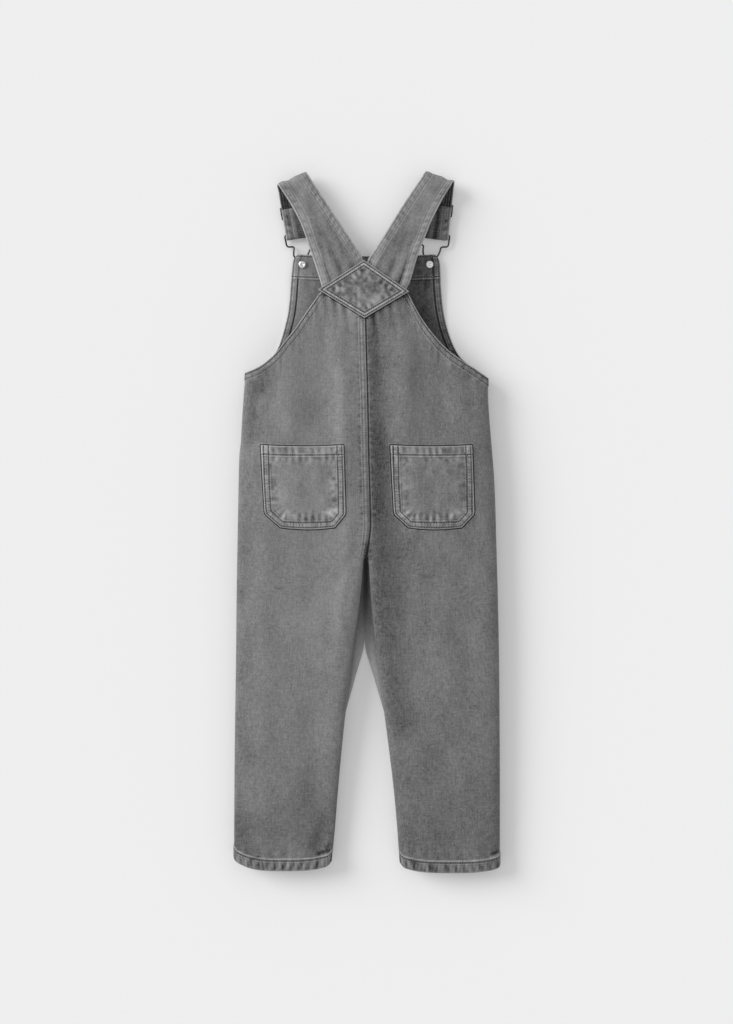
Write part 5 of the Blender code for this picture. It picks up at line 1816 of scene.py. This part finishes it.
CAMERA_HEIGHT = 3.2
CAMERA_CENTRE = (-0.6, 11.7)
FRAME_HEIGHT = 1228.8
MIDDLE_LEVEL = 14.0
SENSOR = 36.0
FLOOR_HALF = 6.0
FLOOR_LEVEL = -0.0004
KEY_SOFTNESS = math.radians(36)
KEY_ELEVATION = math.radians(28)
KEY_TURN = math.radians(25)


def make_floor(stage):
    mesh = bpy.data.meshes.new("floor")
    signs = ((-1, -1), (1, -1), (1, 1), (-1, 1))
    corners = [(x * FLOOR_HALF, y * FLOOR_HALF, FLOOR_LEVEL) for x, y in signs]
    mesh.from_pydata(corners, [], [(0, 1, 2, 3)])
    floor = placed("floor", mesh)
    mesh.materials.append(material("pale floor", lambda n, shader: set_sockets(shader, {
        "Base Color": (stage.floor_tone,) * 3 + (1,),
        "Roughness": 1.0,
        "Specular IOR Level": 0.0,
        "Emission Color": (1, 1, 1, 1),
        "Emission Strength": stage.floor_glow,
    })))


def make_key_light(strength):
    """A soft light from far off and low, over the left edge of the picture and a little towards its top."""
    light = bpy.data.lights.new("key_light", "SUN")
    light.energy = strength
    light.angle = KEY_SOFTNESS
    sun = placed("key_light", light)
    level = math.cos(KEY_ELEVATION)
    towards = Vector((-math.cos(KEY_TURN) * level, math.sin(KEY_TURN) * level, math.sin(KEY_ELEVATION)))
    sun.rotation_euler = towards.to_track_quat("Z", "Y").to_euler()
    sun.location = towards * 3


def make_camera():
    lens = bpy.data.cameras.new("camera")
    lens.sensor_width = SENSOR
    lens.lens = SENSOR * (CAMERA_HEIGHT / MM - MIDDLE_LEVEL) / FRAME_HEIGHT
    lens.clip_end = 50.0
    camera = placed("camera", lens)
    camera.location = (CAMERA_CENTRE[0] * MM, CAMERA_CENTRE[1] * MM, CAMERA_HEIGHT)
    bpy.context.scene.camera = camera


# The add-on

class DungareesCloth(bpy.types.PropertyGroup):
    """The denim."""

    colour: bpy.props.FloatVectorProperty(
        name="Denim colour", description="Middle tone of the washed cloth", subtype="COLOR", size=3,
        default=(0.186, 0.186, 0.186), min=0.0, max=1.0,
    )
    texture: bpy.props.FloatProperty(
        name="Texture", description="Strength of the streaks and flecks in the cloth", default=1.5,
        min=0.0, max=2.0, subtype="FACTOR",
    )
    wear_and_painted_shade: bpy.props.FloatProperty(
        name="Wear", description="How far edges and puckers are washed out and seams stay dark",
        default=0.5, min=0.0, max=1.0, subtype="FACTOR",
    )


class DungareesSewing(bpy.types.PropertyGroup):
    """The rows of stitches."""

    spacing: bpy.props.FloatProperty(
        name="Spacing", description="From one stitch to the next", default=2.9 * MM,
        min=1.5 * MM, max=8 * MM, unit="LENGTH", precision=5,
    )
    length: bpy.props.FloatProperty(
        name="Stitch length", description="Length of thread that shows", default=2.0 * MM,
        min=1 * MM, max=7 * MM, unit="LENGTH", precision=5,
    )
    thickness: bpy.props.FloatProperty(
        name="Thread thickness", description="Width of the thread", default=0.6 * MM,
        min=0.2 * MM, max=1.5 * MM, unit="LENGTH", precision=5,
    )
    colour: bpy.props.FloatVectorProperty(
        name="Thread colour", description="Tone of the sewing thread", subtype="COLOR", size=3,
        default=(0.235, 0.235, 0.235), min=0.0, max=1.0,
    )


class DungareesMetal(bpy.types.PropertyGroup):
    """The buckles, slides, buttons and tacks."""

    steel: bpy.props.FloatVectorProperty(
        name="Dark steel", description="Tone of the wire buckles and slides", subtype="COLOR", size=3,
        default=(0.06, 0.06, 0.06), min=0.0, max=1.0,
    )
    nickel: bpy.props.FloatVectorProperty(
        name="Nickel", description="Tone of the buttons and tack heads", subtype="COLOR", size=3,
        default=(0.82, 0.82, 0.81), min=0.0, max=1.0,
    )


class DungareesStage(bpy.types.PropertyGroup):
    """The floor and the light."""

    floor_tone: bpy.props.FloatProperty(
        name="Floor tone", description="How pale the floor is", default=0.68,
        min=0.0, max=1.0, subtype="FACTOR",
    )
    floor_glow: bpy.props.FloatProperty(
        name="Floor glow", description="Light that the floor gives out, which softens shadows on it",
        default=0.15, min=0.0, max=2.0,
    )
    key: bpy.props.FloatProperty(
        name="Key light", description="Strength of the soft light from the upper left", default=2.5,
        min=0.0, max=20.0,
    )
    surround: bpy.props.FloatProperty(
        name="Surround", description="Strength of the even light from all round", default=0.67,
        min=0.0, max=5.0,
    )


class PieceOperator:
    """What the operators share: each makes its pieces once and can be undone."""

    bl_options = {"REGISTER", "UNDO"}


class DUNGAREES_OT_stage(PieceOperator, bpy.types.Operator):
    """Make the pale floor, the soft studio light and the overhead camera"""

    bl_idname = "dungarees.stage"
    bl_label = "Stage"

    def execute(self, context):
        stage = context.scene.dungarees_stage
        make_floor(stage)
        make_key_light(stage.key)
        world = bpy.data.worlds.new("even light")
        world.use_nodes = True
        background = world.node_tree.nodes["Background"]
        background.inputs["Color"].default_value = (1, 1, 1, 1)
        background.inputs["Strength"].default_value = stage.surround
        context.scene.world = world
        context.scene.view_settings.view_transform = "Standard"
        make_camera()
        return {"FINISHED"}


class DUNGAREES_OT_backs(PieceOperator, bpy.types.Operator):
    """Make the two back panels with their facings, centre-back fell and hems"""

    bl_idname = "dungarees.backs"
    bl_label = "Back panels"

    def execute(self, context):
        for side in SIDES:
            make_back(side)
        return {"FINISHED"}


class DUNGAREES_OT_fronts(PieceOperator, bpy.types.Operator):
    """Make the two front panels underneath"""

    bl_idname = "dungarees.fronts"
    bl_label = "Front panels"

    def execute(self, context):
        for side in SIDES:
            make_front(side)
        return {"FINISHED"}


class DUNGAREES_OT_bib(PieceOperator, bpy.types.Operator):
    """Make the bib, inside up, with its turned edges and top band"""

    bl_idname = "dungarees.bib"
    bl_label = "Bib"

    def execute(self, context):
        make_bib()
        return {"FINISHED"}


class DUNGAREES_OT_pockets(PieceOperator, bpy.types.Operator):
    """Make the two back patch pockets"""

    bl_idname = "dungarees.pockets"
    bl_label = "Patch pockets"

    def execute(self, context):
        for side in SIDES:
            make_pocket(side)
        return {"FINISHED"}


class DUNGAREES_OT_yoke(PieceOperator, bpy.types.Operator):
    """Make the diamond yoke over the ends of the straps"""

    bl_idname = "dungarees.yoke"
    bl_label = "Yoke"

    def execute(self, context):
        make_yoke()
        return {"FINISHED"}


class DUNGAREES_OT_straps(PieceOperator, bpy.types.Operator):
    """Make the two straps, doubled round their buckles, with their rows of stitches"""

    bl_idname = "dungarees.straps"
    bl_label = "Straps"

    def execute(self, context):
        sewing = context.scene.dungarees_sewing
        for seed, side in enumerate(SIDES):
            rows = make_strap(side) + strap_end_sewing(side)
            sew("strap_%s_stitches" % side, rows, sewing, 21 + seed)
        return {"FINISHED"}


class DUNGAREES_OT_metal(PieceOperator, bpy.types.Operator):
    """Make the slides, wire buckles, bib buttons and tack heads"""

    bl_idname = "dungarees.metal"
    bl_label = "Metal parts"

    def execute(self, context):
        for side in SIDES:
            make_slide(side)
            make_wire_buckle(side)
            make_button(side)
        return {"FINISHED"}


class DUNGAREES_OT_sewing(PieceOperator, bpy.types.Operator):
    """Sew the rows of stitches on the panels, bib, pockets and yoke"""

    bl_idname = "dungarees.sewing"
    bl_label = "Rows of stitches"

    def execute(self, context):
        sewing = context.scene.dungarees_sewing
        for seed, side in enumerate(SIDES):
            sew("back_%s_stitches" % side, back_sewing(side), sewing, 1 + seed)
            sew("front_%s_stitches" % side, front_sewing(side), sewing, 3 + seed)
            sew("pocket_%s_stitches" % side, pocket_sewing(side), sewing, 5 + seed)
        sew("bib_stitches", bib_sewing(), sewing, 7)
        sew("yoke_stitches", yoke_sewing(), sewing, 8)
        return {"FINISHED"}


OPERATORS = (
    DUNGAREES_OT_stage, DUNGAREES_OT_backs, DUNGAREES_OT_fronts, DUNGAREES_OT_bib, DUNGAREES_OT_pockets,
    DUNGAREES_OT_yoke, DUNGAREES_OT_straps, DUNGAREES_OT_metal, DUNGAREES_OT_sewing,
)
SETTINGS = {
    "dungarees_cloth": DungareesCloth,
    "dungarees_sewing": DungareesSewing,
    "dungarees_metal": DungareesMetal,
    "dungarees_stage": DungareesStage,
}


class DUNGAREES_PT_panel(bpy.types.Panel):
    """The dungarees' settings and the buttons that make their pieces"""

    bl_label = "Dungarees"
    bl_idname = "DUNGAREES_PT_panel"
    bl_space_type = "VIEW_3D"
    bl_region_type = "UI"
    bl_category = "Dungarees"

    def draw(self, context):
        for label in SETTINGS:
            box = self.layout.box()
            group = getattr(context.scene, label)
            for setting in group.bl_rna.properties:
                if setting.identifier not in {"rna_type", "name"}:
                    box.prop(group, setting.identifier)
        for operator in OPERATORS:
            self.layout.operator(operator.bl_idname)


def register():
    for group in SETTINGS.values():
        bpy.utils.register_class(group)
    for label, group in SETTINGS.items():
        setattr(bpy.types.Scene, label, bpy.props.PointerProperty(type=group))
    for operator in OPERATORS:
        bpy.utils.register_class(operator)
    bpy.utils.register_class(DUNGAREES_PT_panel)


def unregister():
    bpy.utils.unregister_class(DUNGAREES_PT_panel)
    for operator in reversed(OPERATORS):
        bpy.utils.unregister_class(operator)
    for label in SETTINGS:
        delattr(bpy.types.Scene, label)
    for group in reversed(SETTINGS.values()):
        bpy.utils.unregister_class(group)


def main():
    register()
    bpy.ops.dungarees.stage()
    bpy.ops.dungarees.backs()
    bpy.ops.dungarees.fronts()
    bpy.ops.dungarees.bib()
    bpy.ops.dungarees.pockets()
    bpy.ops.dungarees.yoke()
    bpy.ops.dungarees.straps()
    bpy.ops.dungarees.metal()
    bpy.ops.dungarees.sewing()


if __name__ == "__main__":
    main()
